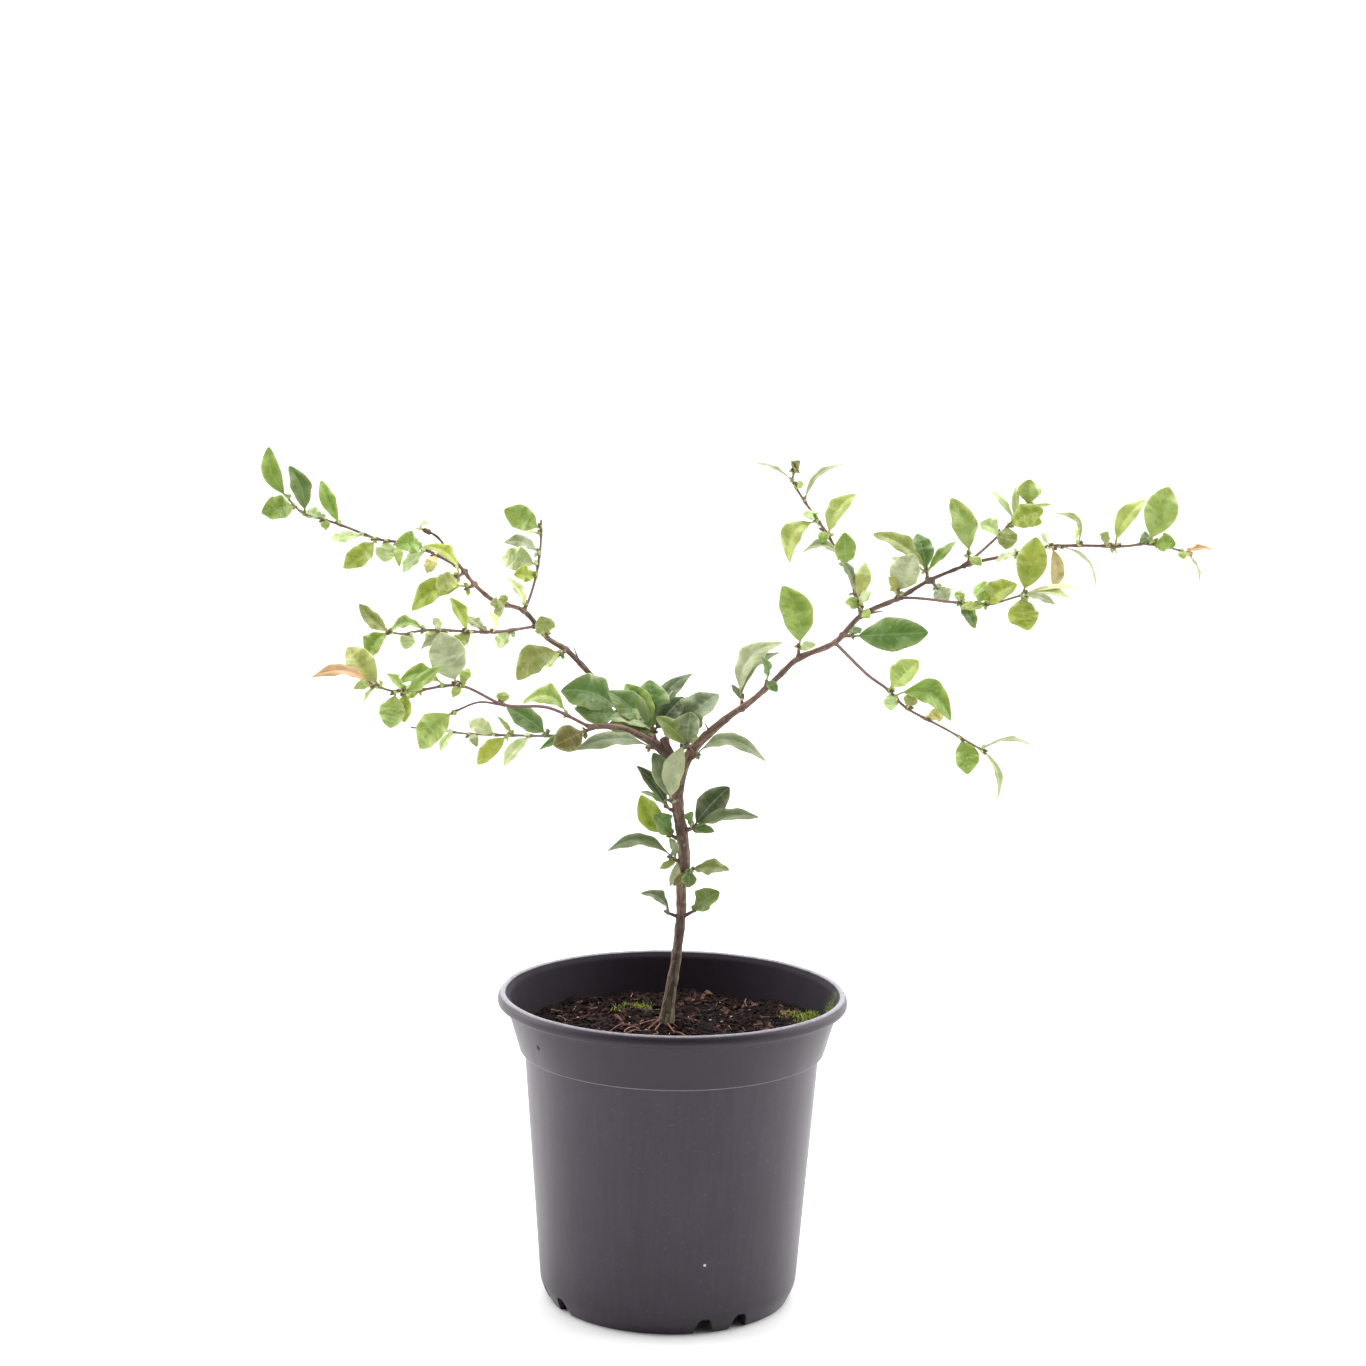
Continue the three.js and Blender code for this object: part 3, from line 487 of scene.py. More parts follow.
def makePot():
    outline = [(point.x * mm, 0, point.y * mm) for point in potOutline()]
    links = [(index, index + 1) for index in range(len(outline) - 1)]
    piece = newObject("nurseryPot", newMesh("nurseryPot", outline, links))
    addModifier(piece, "SCREW", axis="Z", angle=fullTurn, steps=pot.sides, render_steps=pot.sides,
                use_merge_vertices=True, merge_threshold=0.001 * mm)
    cutters = [makeNotch(pair, side) for pair in range(pot.notchPairs) for side in (-1, 1)]
    for cutter in cutters:
        addModifier(piece, "BOOLEAN", operation="DIFFERENCE", solver="EXACT", object=cutter)
    mesh = makePlain(piece, makePotMaterial())
    for cutter in cutters:
        bpy.data.objects.remove(cutter)
    shapePlastic(mesh)
    for face in mesh.polygons:
        face.material_index = 0
        face.use_smooth = True
    mesh.set_sharp_from_angle(angle=math.radians(pot.sharpAngle))
    finishPiece(piece, "pot_plastic", "pot")


# A wedge that is narrower at its top cuts one drain notch through the foot ring
def makeNotch(pair, side):
    turn = math.radians(-90 + pot.notchFirstAngle + pair * 360 / pot.notchPairs + side * pot.notchSpread)
    inner = pot.footRingInner - 2
    halfFoot, halfTop, top = pot.notchWidth / 2 + 1, pot.notchTopWidth / 2, pot.notchHeight
    section = [(-halfFoot, -3), (halfFoot, -3), (halfTop + 0.6, top - 1.2), (halfTop - 0.8, top),
               (0.8 - halfTop, top), (-halfTop - 0.6, top - 1.2)]
    points = [Vector((radius, across, height)) * mm
              for radius in (inner, inner + pot.notchDepth) for across, height in section]
    count = len(section)
    faces = [tuple(range(count))[::-1], tuple(range(count, 2 * count))]
    faces += [(i, (i + 1) % count, (i + 1) % count + count, i + count) for i in range(count)]
    around = Matrix.Rotation(turn, 4, "Z")
    return newObject("notch", newMesh("notch", [around @ point for point in points], (), faces))


# Thin plastic is never quite round; the painted highlights on the rim's crest and collar step, the darker rim
# band with the collar's painted shade, and the soil stain with the painted shade inside the pot are kept as
# attributes
def shapePlastic(mesh):
    highlitEdges, bands, stainAndShade = [], [], []
    collarFoot, rimFoot = potHeights()
    heights = (0, pot.footChamfer, collarFoot - 0.3, collarFoot + 0.3, rimFoot - 0.3, rimFoot, pot.height)
    radii = (pot.footRingInner, pot.baseRadius, pot.bodyTopRadius, pot.collarFootRadius,
             pot.collarTopRadius, pot.rimRadius, pot.rimRadius - 2.6)
    for vertex in mesh.vertices:
        point = vertex.co / mm
        radius, angle = math.hypot(point.x, point.y), math.atan2(point.y, point.x)
        height = point.z / pot.height
        waver = pot.outOfRound * math.sin(2 * angle + 0.6) * height
        waver += pot.rimDent * height ** 6 * noise.noise(Vector((math.cos(angle), math.sin(angle), 0.3)) * 3)
        if radius > pot.footRingInner:
            vertex.co.x *= 1 - abs(waver) / radius
            vertex.co.y *= 1 - abs(waver) / radius
        fromTop = pot.height - point.z
        # Painted highlights: pale lines on the rim's crest and on the collar step
        atCrest = fromTop < 0.6 and radius > pot.rimRadius - 3.6
        atStep = abs(fromTop - pot.collarDrop) < 0.5 and radius > pot.bodyTopRadius - 0.6
        highlitEdges.append(1.0 if atCrest else pot.stepWear if atStep else 0.0)
        outside = radius > np.interp(point.z, heights, radii) - 0.65
        # The rim's outer band is darker, and the collar, which tilts down, gets painted shade
        onBand = radius > pot.rimRadius - 1.2 and fromTop > 0.9
        onCollar = outside and pot.rimBand < fromTop < pot.collarDrop
        bands.append(pot.bandTone if onBand else pot.collarTone if onCollar else 0.0)
        # 1 inside the pot, for painted shade and soil stain there; lower outside, for soil stain only
        stainAndShade.append(pot.outerStain if outside else 1.0)
    setFloats(mesh, wornEdge=highlitEdges, rimBand=bands, nearSoil=stainAndShade)


makePot()
print("pot made")


# The soil: a rough bed of peat. mossPatches: x, y, reach and density of each patch of moss.
soil = Settings(
    level=117, clearance=0.3, topRadius=65, rings=70, sides=176, hummock=0.9, crumb=0.7, bank=6.0,
    roughness=1.1, moundRadius=15, moundHeight=2.2, wobble=1.1 * mm, seed=7,
    black=seen(13, 7, 8), brown=seen(38, 23, 20), damp=seen(24, 14, 14),
    chipDark=seen(27, 15, 14), chipRed=seen(64, 39, 34), chipTan=seen(112, 80, 64),
    root=seen(142, 102, 90), rootTip=seen(192, 158, 140), mossDeep=seen(62, 84, 30),
    mossBright=seen(170, 188, 82), mineral=seen(206, 198, 186),
    mossPatches=[(61, 6, 11, 1.0), (62, -7, 8, 1.0), (52, 17, 6, 0.4), (-15, 34, 8, 0.45), (-24, 27, 5, 0.3)])


def soilHeight(x, y):  # in millimetres, as the packed soil rises
    hummocks = soil.hummock * math.sin(x / 9 + 1) * math.cos(y / 8)
    crumbs = soil.crumb * math.sin((x + y) / 5)
    bank = soil.bank * max(0, x / 60 - 0.5)
    away = math.hypot(x + 4, y) / soil.moundRadius
    mound = soil.moundHeight * math.exp(-away * away)
    clods, grains = noise.noise(Vector((x, y, 3)) / 4.5), noise.noise(Vector((x, y, 9)) / 1.7)
    return soil.level + hummocks + crumbs + bank + mound + soil.roughness * (clods + 0.6 * grains)


def makeSoilBed():
    gap, sides = soil.clearance, soil.sides
    wall, collarFoot = pot.wall + 2 * gap, potHeights()[0]
    floorTop = pot.recessHeight + pot.floorThickness + gap
    below = [(0, pot.floorThickness + gap), (pot.padRadius + 0.6, pot.floorThickness + gap),
             (pot.padRadius + 2.8, floorTop), (pot.baseRadius - wall - 1.4, floorTop + 0.3),
             (pot.baseRadius - wall, pot.footChamfer + 2.6), (pot.bodyTopRadius - wall, collarFoot - 0.6),
             (pot.collarFootRadius - wall - 0.3, collarFoot + 1.9)]
    rows = below + [(soil.topRadius * (1 - ring / soil.rings), None) for ring in range(soil.rings + 1)]
    points, faces = [], []
    for radius, height in rows:
        for side in range(sides if radius else 1):
            angle = fullTurn * side / sides
            x, y = radius * math.cos(angle), radius * math.sin(angle)
            points.append((x * mm, y * mm, (soilHeight(x, y) if height is None else height) * mm))
    last = len(points) - 1
    ringStarts = [1 + row * sides for row in range(len(rows) - 2)]
    for side in range(sides):
        after = (side + 1) % sides
        faces.append((0, ringStarts[0] + after, ringStarts[0] + side))
        for low, high in zip(ringStarts, ringStarts[1:]):
            faces.append((low + side, low + after, high + after, high + side))
        faces.append((ringStarts[-1] + side, ringStarts[-1] + after, last))
    mesh = newMesh("soilBed", points, (), faces)
    mesh.materials.append(makeSoilMaterial())
    mesh.shade_smooth()
    return newObject("soilBed", mesh)


def makeSoilMaterial():
    material = newMaterial("peat")
    broad, fine = mottled(130.0, 900.0)
    colour = layered(soil.black, (broad, soil.damp), (fine * 0.6, soil.brown))
    setShader({"Base Color": colour, "Roughness": 0.9, "Specular IOR Level": 0.12}, (fine, 1.0, 1.2 * mm))
    return material


# Bits on the soil take their colour from a tone that each one carries, from dark to pale
def makeBitsMaterial(name, dark, middle, pale, scale, rough):
    material = newMaterial(name)
    broad, fine = mottled(scale, scale * 4)
    tone = calc("MULTIPLY_ADD", broad, 0.35, readAttribute("bitTone") - 0.15, clamp=True)
    colour = layered(soil[dark], (remap(tone, 0.0, 0.6), soil[middle]), (remap(tone, 0.6, 1.0), soil[pale]))
    setShader({"Base Color": colour, "Roughness": rough, "Specular IOR Level": 0.15}, (fine, 0.7, 0.4 * mm))
    return material


# The shapes of the bits, a millimetre or two across before they are scaled
def chipShape():  # a boxy flake of bark
    ball = geometry("MeshIcoSphere", {0: 1 * mm, 1: 2})

    def squared(value, power):
        size = calc("POWER", calc("DIVIDE", calc("ABSOLUTE", value), mm), power)
        return calc("SIGN", value) * size * mm

    x, y, z = separate(geometry("InputPosition"))
    return setPosition(ball, Position=combine(squared(x, 0.6), squared(y, 0.6), squared(z, 0.8)))


def crumbShape():
    return geometry("MeshIcoSphere", {0: 1 * mm, 1: 1})


def fibreShape():  # a thin bent strand, closed at both ends
    start, middle, end = (-1 * mm, 0, 0), (0, 0.5 * mm, 0.25 * mm), (1 * mm, 0, 0)
    line = geometry("CurveQuadraticBezier", {0: 7, 1: start, 2: middle, 3: end})
    ring = geometry("CurvePrimitiveCircle", {0: 5, 4: 1 * mm})
    return geometry("CurveToMesh", {0: line, 1: ring, 2: 0.03, 3: True})


def mossShape():  # one pointed moss leaf
    return geometry("MeshCone", {0: 4, 1: 1, 2: 1, 3: 0.0, 4: 0.35 * mm, 5: 1.6 * mm})


# What is strewn on the soil: its shape; its material, dark, middle and pale colour, grain and roughness;
# and what makeStrewTree reads, where Reach is how far from the middle it lies
strewn = {
    "soilCrumbs": (crumbShape, ("peatCrumbs", "black", "brown", "chipRed", 700.0, 0.95), {
        "Density": 190000, "Smallest": (0.4, 0.4, 0.3), "Largest": (1.3, 1.1, 0.8), "Tilt": 1.0,
        "Tone Bias": 2.0, "Reach": 63.5 * mm}),
    "barkFlakes": (chipShape, ("barkChips", "chipDark", "chipRed", "chipTan", 500.0, 0.8), {
        "Density": 62000, "Smallest": (0.8, 0.5, 0.25), "Largest": (3.4, 1.6, 0.6), "Tilt": 0.6,
        "Tone Bias": 2.4, "Reach": 61 * mm}),
    "soilFibres": (fibreShape, ("fibres", "chipDark", "chipRed", "rootTip", 400.0, 0.7), {
        "Density": 16000, "Smallest": (2.0, 1.5, 2.0), "Largest": (6.0, 5.0, 6.0), "Tilt": 0.45,
        "Sink": -0.3 * mm, "Tone Bias": 1.6, "Reach": 58 * mm}),
    "soilGrit": (crumbShape, ("grit", "mineral", "mineral", "rootTip", 900.0, 0.8), {
        "Density": 1100, "Smallest": (0.5, 0.4, 0.4), "Largest": (1.1, 0.9, 0.8), "Tilt": 1.0,
        "Tone Bias": 1.0, "Reach": 60 * mm}),
    "soilMoss": (mossShape, ("moss", "mossDeep", "mossBright", "mossBright", 900.0, 0.8), {
        "Density": 3600000, "Smallest": (0.6, 0.6, 0.7), "Largest": (1.1, 1.1, 2.2), "Tilt": 0.8,
        "Sink": 0.3 * mm, "Tone Bias": 0.8, "Mask Name": "mossy", "Reach": 64 * mm}),
}


# Geometry nodes that strew one kind of bit over the top of the soil
def makeStrewTree(name, shape):
    tree, given, result = newGroup(name, "GeometryNodeTree", {
        "Soil": "Geometry", "Density": 1000.0, "Seed": 0, "Smallest": (1, 1, 1), "Largest": (1, 1, 1),
        "Tilt": 0.4, "Sink": 0.0, "Reach": 0.062, "Tone Bias": 1.0, "Mask Name": "everywhere",
        "Bit Material": "Material",
    }, {"Bits": "Geometry"})

    def randomIn(low, high, step):
        return wire("FunctionNodeRandomValue", {0: low, 1: high, 8: given["Seed"] + step * 17},
                    data_type="FLOAT_VECTOR")

    def randomTilt(step):
        return separate(randomIn((-1, -1, -1), (1, 1, 1), step))[0] * given["Tilt"]

    x, y, z = separate(geometry("InputPosition"))
    onTop = calc("LESS_THAN", calc("SQRT", x * x + y * y), given["Reach"])
    onTop *= calc("GREATER_THAN", z, (soil.level - 5) * mm)
    density = given["Density"] * (onTop * readField(given["Mask Name"], "FLOAT"))
    spots = geometry("DistributePointsOnFaces", {
        "Mesh": given["Soil"], "Density": density, "Seed": given["Seed"]}, distribute_method="RANDOM")
    turn = separate(randomIn((0, 0, 0), (0, 0, fullTurn), 1))[2]
    placed = geometry("InstanceOnPoints", {
        "Points": spots, "Instance": shape(),
        "Rotation": wire("FunctionNodeEulerToRotation", {0: combine(randomTilt(2), randomTilt(3), turn)}),
        "Scale": randomIn(given["Smallest"], given["Largest"], 4)})
    tone = calc("POWER", separate(randomIn((0, 0, 0), (1, 1, 1), 5))[0], given["Tone Bias"])
    toned = storeField(placed, "bitTone", tone, "FLOAT", "INSTANCE")
    whole = geometry("RealizeInstances", {0: toned})
    swirl = wire("ShaderNodeTexNoise", {"Scale": 700.0, "Detail": 2.0}, "Color")
    shift = vectorCalc("SCALE", vectorCalc("SUBTRACT", swirl, (0.5, 0.5, 0.5)), Scale=soil.wobble)
    sunk = vectorCalc("SUBTRACT", shift, combine(0.0, 0.0, given["Sink"]))
    flat = geometry("SetShadeSmooth", {0: setPosition(whole, Offset=sunk), 2: False})
    feed(result[0], coat(flat, given["Bit Material"]))
    return tree


def strew(bed, name, seed):
    shape, skin, values = strewn[name]
    piece = newObject(name, bed.data.copy())
    piece.data.materials.clear()
    tree = makeStrewTree(name, shape)
    addTree(piece, tree, {**values, "Seed": seed, "Bit Material": makeBitsMaterial(*skin)})
    print(name, len(makePlain(piece).polygons), "faces")
    finishPiece(piece, "soil")


def makeSoil():
    bed = makeSoilBed()
    mossy = []
    for vertex in bed.data.vertices:
        x, y = vertex.co.x / mm, vertex.co.y / mm
        growth = [amount * max(0.0, 1 - math.hypot(x - patchX, y - patchY) / size)
                  for patchX, patchY, size, amount in soil.mossPatches]
        mossy.append(min(1.0, sum(growth)))
    setFloats(bed.data, everywhere=[1.0] * len(mossy), mossy=mossy)
    finishPiece(bed, "soil", "soil")
    for number, name in enumerate(strewn):
        strew(bed, name, soil.seed + number)


makeSoil()
print("soil made")


# The older wood: each limb is its centre line in millimetres with the radius there
woodLimbs = [
    [(-5, 1, 90, 4.4), (-4, 0, 106, 5), (-3, 0, 114, 4.1), (-2, 1, 126, 3.1), (1, 0, 146, 2.7),
     (3, -1, 167, 2.6), (3, -1, 180, 2.8), (4, 0, 190, 3.2), (3, 1, 201, 3.1), (1, 1, 213, 3),
     (1, 0, 222, 3.1), (3, 0, 231, 3), (8, 0, 240, 2.6), (21, -4, 253, 2), (31, -8, 261, 1.7),
     (41, -12, 271, 1.6), (50, -14, 280, 1.7), (65, -14, 287, 1.6), (76, -10, 298, 1.5), (92, -4, 305, 1.4),
     (105, 2, 312, 1.2), (123, 8, 319, 1.05)],
    [(1, 0, 222, 2.8), (-3, 4, 233, 2.5), (-9, 7, 240, 2.3), (-24, 12, 253, 1.8), (-36, 16, 266, 1.65),
     (-47, 18, 277, 1.55), (-56, 17, 283, 1.55), (-66, 12, 295, 1.4), (-77, 6, 299, 1.3), (-86, 2, 307, 1.2),
     (-95, -2, 319, 1), (-101, -4, 327, 0.85), (-106, -5, 330, 0.75)],
    [(1, -1, 225, 2.4), (-6, -4, 238, 2.1), (-18, -10, 247, 1.8), (-27, -13, 250, 1.6), (-37, -15, 250, 1.5)],
    [(2, 0, 228, 2.4), (-3, -3, 238, 2.1), (-6, -4, 244, 1.9)],
    [(-4, 0, 110, 3.4), (-11, -4, 112, 2.4), (-20, -7, 107, 1.4)],
]
# slimming: share and shift of the limbs' radii. thorns: foot, reach and radius of each.
wood = Settings(
    sides=24, sampleStep=1.5, voxel=0.42, smoothing=4, slimming=(0.89, -0.2), furrow=0.2,
    furrowSize=(0.7, 0.7, 3.5), lumps=0.24, lumpSize=(2.2, 2.2, 5.0),
    nodeSpacing=11, nodeSwell=0.22, nodeReach=1.1, thickFrom=2.6, spurReach=0.55, spurRadius=1.75,
    flareHeight=16, flare=0.9, tubeSides=10, tubeStep=0.8, rootRadius=0.42,
    thorns=[((-42, 17, 272), (-3, -4, 9), 0.7), ((79, -10, 299), (7, -6, 2), 0.7),
            ((14, -2, 246), (-3, -2, 6), 0.6), ((-31, 14, 260), (-5, -5, 6), 0.6)],
    surfaceRoots=[
        ((-5, -2, 122), (-9, -5, 119.3), (-12, -10, 118.6), (-17, -12, 119.2), (-21, -18, 118)),
        ((-6, 0, 121), (-12, 1, 119.2), (-16, -3, 118.9), (-22, -3, 119.3), (-27, -9, 117.6)),
        ((-5, -3, 120), (-7, -9, 118.8), (-6, -14, 118.7), (-10, -19, 118.9), (-11, -25, 117.4)),
        ((-13, -9, 118.2), (-16, -7, 119.4), (-19, -9, 119.2), (-20, -13, 118.8), (-17, -16, 117.8)),
        ((-2, -3, 120), (1, -9, 118.2), (4, -12, 118.4), (8, -19, 117.4))])


def unit(vector):
    return vector / np.linalg.norm(vector)


# A smooth way through listed points; place counts points along it
def pathPoint(points, place):
    last = len(points) - 1
    index = min(int(place), last - 1)
    share = place - index
    here, after = points[index], points[index + 1]
    before = points[index - 1] if index > 0 else 2 * here - after
    beyond = points[index + 2] if index + 2 <= last else 2 * after - here
    slopeIn, slopeOut = (after - before) / 2, (beyond - here) / 2
    second = -3 * here + 3 * after - 2 * slopeIn - slopeOut
    third = 2 * here - 2 * after + slopeIn + slopeOut
    return here + slopeIn * share + second * share ** 2 + third * share ** 3


def samplePath(points, step):
    places = [0.0]
    for index in range(len(points) - 1):
        count = max(2, round(np.linalg.norm(points[index + 1] - points[index]) / step))
        places += [index + (part + 1) / count for part in range(count)]
    return places, np.array([pathPoint(points, place) for place in places])


def growTube(lines, sides):  # a round tube along the lines, as thick as their points say
    ring = geometry("CurvePrimitiveCircle", {0: sides, 4: 1.0})
    line = geometry("MeshToCurve", {0: lines})
    return geometry("CurveToMesh", {0: line, 1: ring, 2: readField("stemRadius", "FLOAT"), 3: True})


limbTree, given, result = newGroup("limbSkin", "GeometryNodeTree", {
    "Lines": "Geometry", "Sides": 24, "Skin Material": "Material"}, {"Skin": "Geometry"})
feed(result[0], coat(growTube(given["Lines"], given["Sides"]), given["Skin Material"]))


# Each limb sampled: its points, radii, length so far and a frame that doesn't spin
def sampleLimb(limb, start):
    rows = np.array(limb, float)
    places, points = samplePath(rows[:, :3], wood.sampleStep)
    radii = np.interp(places, range(len(rows)), rows[:, 3]) * wood.slimming[0] + wood.slimming[1]
    tangents = np.gradient(points, axis=0)
    tangents /= np.linalg.norm(tangents, axis=1)[:, None]
    lengths = start + np.concatenate([[0], np.cumsum(np.linalg.norm(np.diff(points, axis=0), axis=1))])
    across, frames = np.array([0.3, 1, 0.2]), []
    for tangent in tangents:
        across = unit(across - tangent * across.dot(tangent))
        frames.append((across, np.cross(tangent, across)))
    fromNode = lengths % wood.nodeSpacing - wood.nodeSpacing / 2
    swell = wood.nodeSwell * np.exp(-(fromNode / wood.nodeReach) ** 2) * (radii < wood.thickFrom)
    return Settings(points=points, radii=radii + swell, lengths=lengths, frames=np.array(frames))


def spurLines():  # the short knobs of wood that shoots and leaf clusters grow from
    for node, look, stems in leafyShoots:
        for radii, path, leaves in stems:
            foot, first = (np.array(point, float) for point in path[:2])
            reach = unit(first - foot)
            depth = wood.spurReach * 4
            yield [(*(foot - reach), wood.spurRadius), (*(foot + reach * depth), wood.spurRadius * 0.75)]


def nearLimb(spur, limbs):  # second stems of a shoot start on the shoot, not on the wood
    return any(np.linalg.norm(limb.points - spur.points[1], axis=1).min() < 3 for limb in limbs)


def linesObject(name, lines, radii, **columns):
    points, links = [], []
    for line in lines:
        first = len(points)
        points += list(line * mm)
        links += [(first + index, first + index + 1) for index in range(len(line) - 1)]
    mesh = newMesh(name, points, links)
    setFloats(mesh, stemRadius=np.concatenate(radii) * mm, **columns)
    return newObject(name, mesh)


def makeOldWood():
    limbs = [sampleLimb(limb, 300 * index) for index, limb in enumerate(woodLimbs)]
    spurs = [sampleLimb(line, 0) for line in spurLines()]
    lines = limbs + [spur for spur in spurs if nearLimb(spur, limbs)]
    piece = linesObject("oldWood", [line.points for line in lines], [line.radii for line in lines])
    addTree(piece, limbTree, {"Sides": wood.sides})
    addModifier(piece, "REMESH", mode="VOXEL", voxel_size=wood.voxel * mm)
    addModifier(piece, "SMOOTH", iterations=wood.smoothing, factor=0.5)
    mesh = makePlain(piece, makeBarkMaterial("bark"))
    roughenBark(mesh, limbs)
    mesh.shade_smooth()
    finishPiece(piece, "bark", "old_wood")
    print("oldWood", len(mesh.polygons), "faces")


# Bark grain runs along each limb: its coordinates are kept on the mesh, and furrows and lumps follow them
def roughenBark(mesh, limbs):
    centres, lengths, radii, frames = (
        np.concatenate([limb[key] for limb in limbs]) for key in ("points", "lengths", "radii", "frames"))
    skin, normals = np.zeros((2, len(mesh.vertices) * 3), np.float32)
    mesh.vertices.foreach_get("co", skin)
    mesh.vertices.foreach_get("normal", normals)
    skin, normals = skin.reshape(-1, 3) / mm, normals.reshape(-1, 3)
    nearest = np.concatenate([
        np.linalg.norm(part[:, None] - centres[None], axis=2).argmin(1) for part in np.array_split(skin, 40)])
    offset, axes = skin - centres[nearest], frames[nearest]
    across, over = (np.einsum("ij,ij->i", offset, axes[:, axis]) for axis in (0, 1))
    along = lengths[nearest] + np.einsum("ij,ij->i", offset, np.cross(axes[:, 0], axes[:, 1]))
    flow = np.stack([across, over, along], 1)
    rise = sum(height * np.array([noise.noise(Vector(place)) for place in flow / size])
               for height, size in ((wood.furrow, wood.furrowSize), (wood.lumps, wood.lumpSize)))
    rise *= np.minimum(1, radii[nearest] / wood.thickFrom)
    aboveSoil = (skin[:, 2] - soil.level) / wood.flareHeight
    rise += wood.flare * np.exp(-(aboveSoil * 1.6) ** 2) * (0.5 + 0.5 * np.cos(5 * np.arctan2(over, across)))
    setAttribute(mesh, "barkFlow", "FLOAT_VECTOR", flow * mm)
    mesh.vertices.foreach_set("co", ((skin + normals * rise[:, None]) * mm).astype(np.float32).ravel())
    mesh.update()


# Thorns and surface roots: thin closed tubes that taper from thick to thin
def makeTubes(name, paths, material):
    lines = [samplePath(np.array(path, float), wood.tubeStep)[1] for path, thick, thin in paths]
    radii = [np.linspace(thick, thin, len(line)) for line, (path, thick, thin) in zip(lines, paths)]
    ages = np.concatenate([np.linspace(1.0, 0.5, len(line)) for line in lines])
    tones = [0.5 + 0.4 * noise.noise(Vector(point * mm) / (6 * mm)) for line in lines for point in line]
    piece = linesObject(name, lines, radii, stemAge=ages, bitTone=tones)
    addTree(piece, limbTree, {"Sides": wood.tubeSides, "Skin Material": material})
    makePlain(piece).shade_smooth()
    finishPiece(piece, "bark")


def makeThorns():
    paths = []
    for foot, reach, radius in wood.thorns:
        foot, reach = np.array(foot, float), np.array(reach, float)
        paths.append(([foot - reach * 0.1, foot + reach * 0.5, foot + reach], radius, 0.08))
    makeTubes("thorns", paths, makeTwigMaterial("thornSkin"))


def makeSurfaceRoots():
    skin = makeBitsMaterial("rootSkin", "chipRed", "root", "rootTip", 300.0, 0.6)
    makeTubes("surfaceRoots", [(line, wood.rootRadius, 0.15) for line in wood.surfaceRoots], skin)


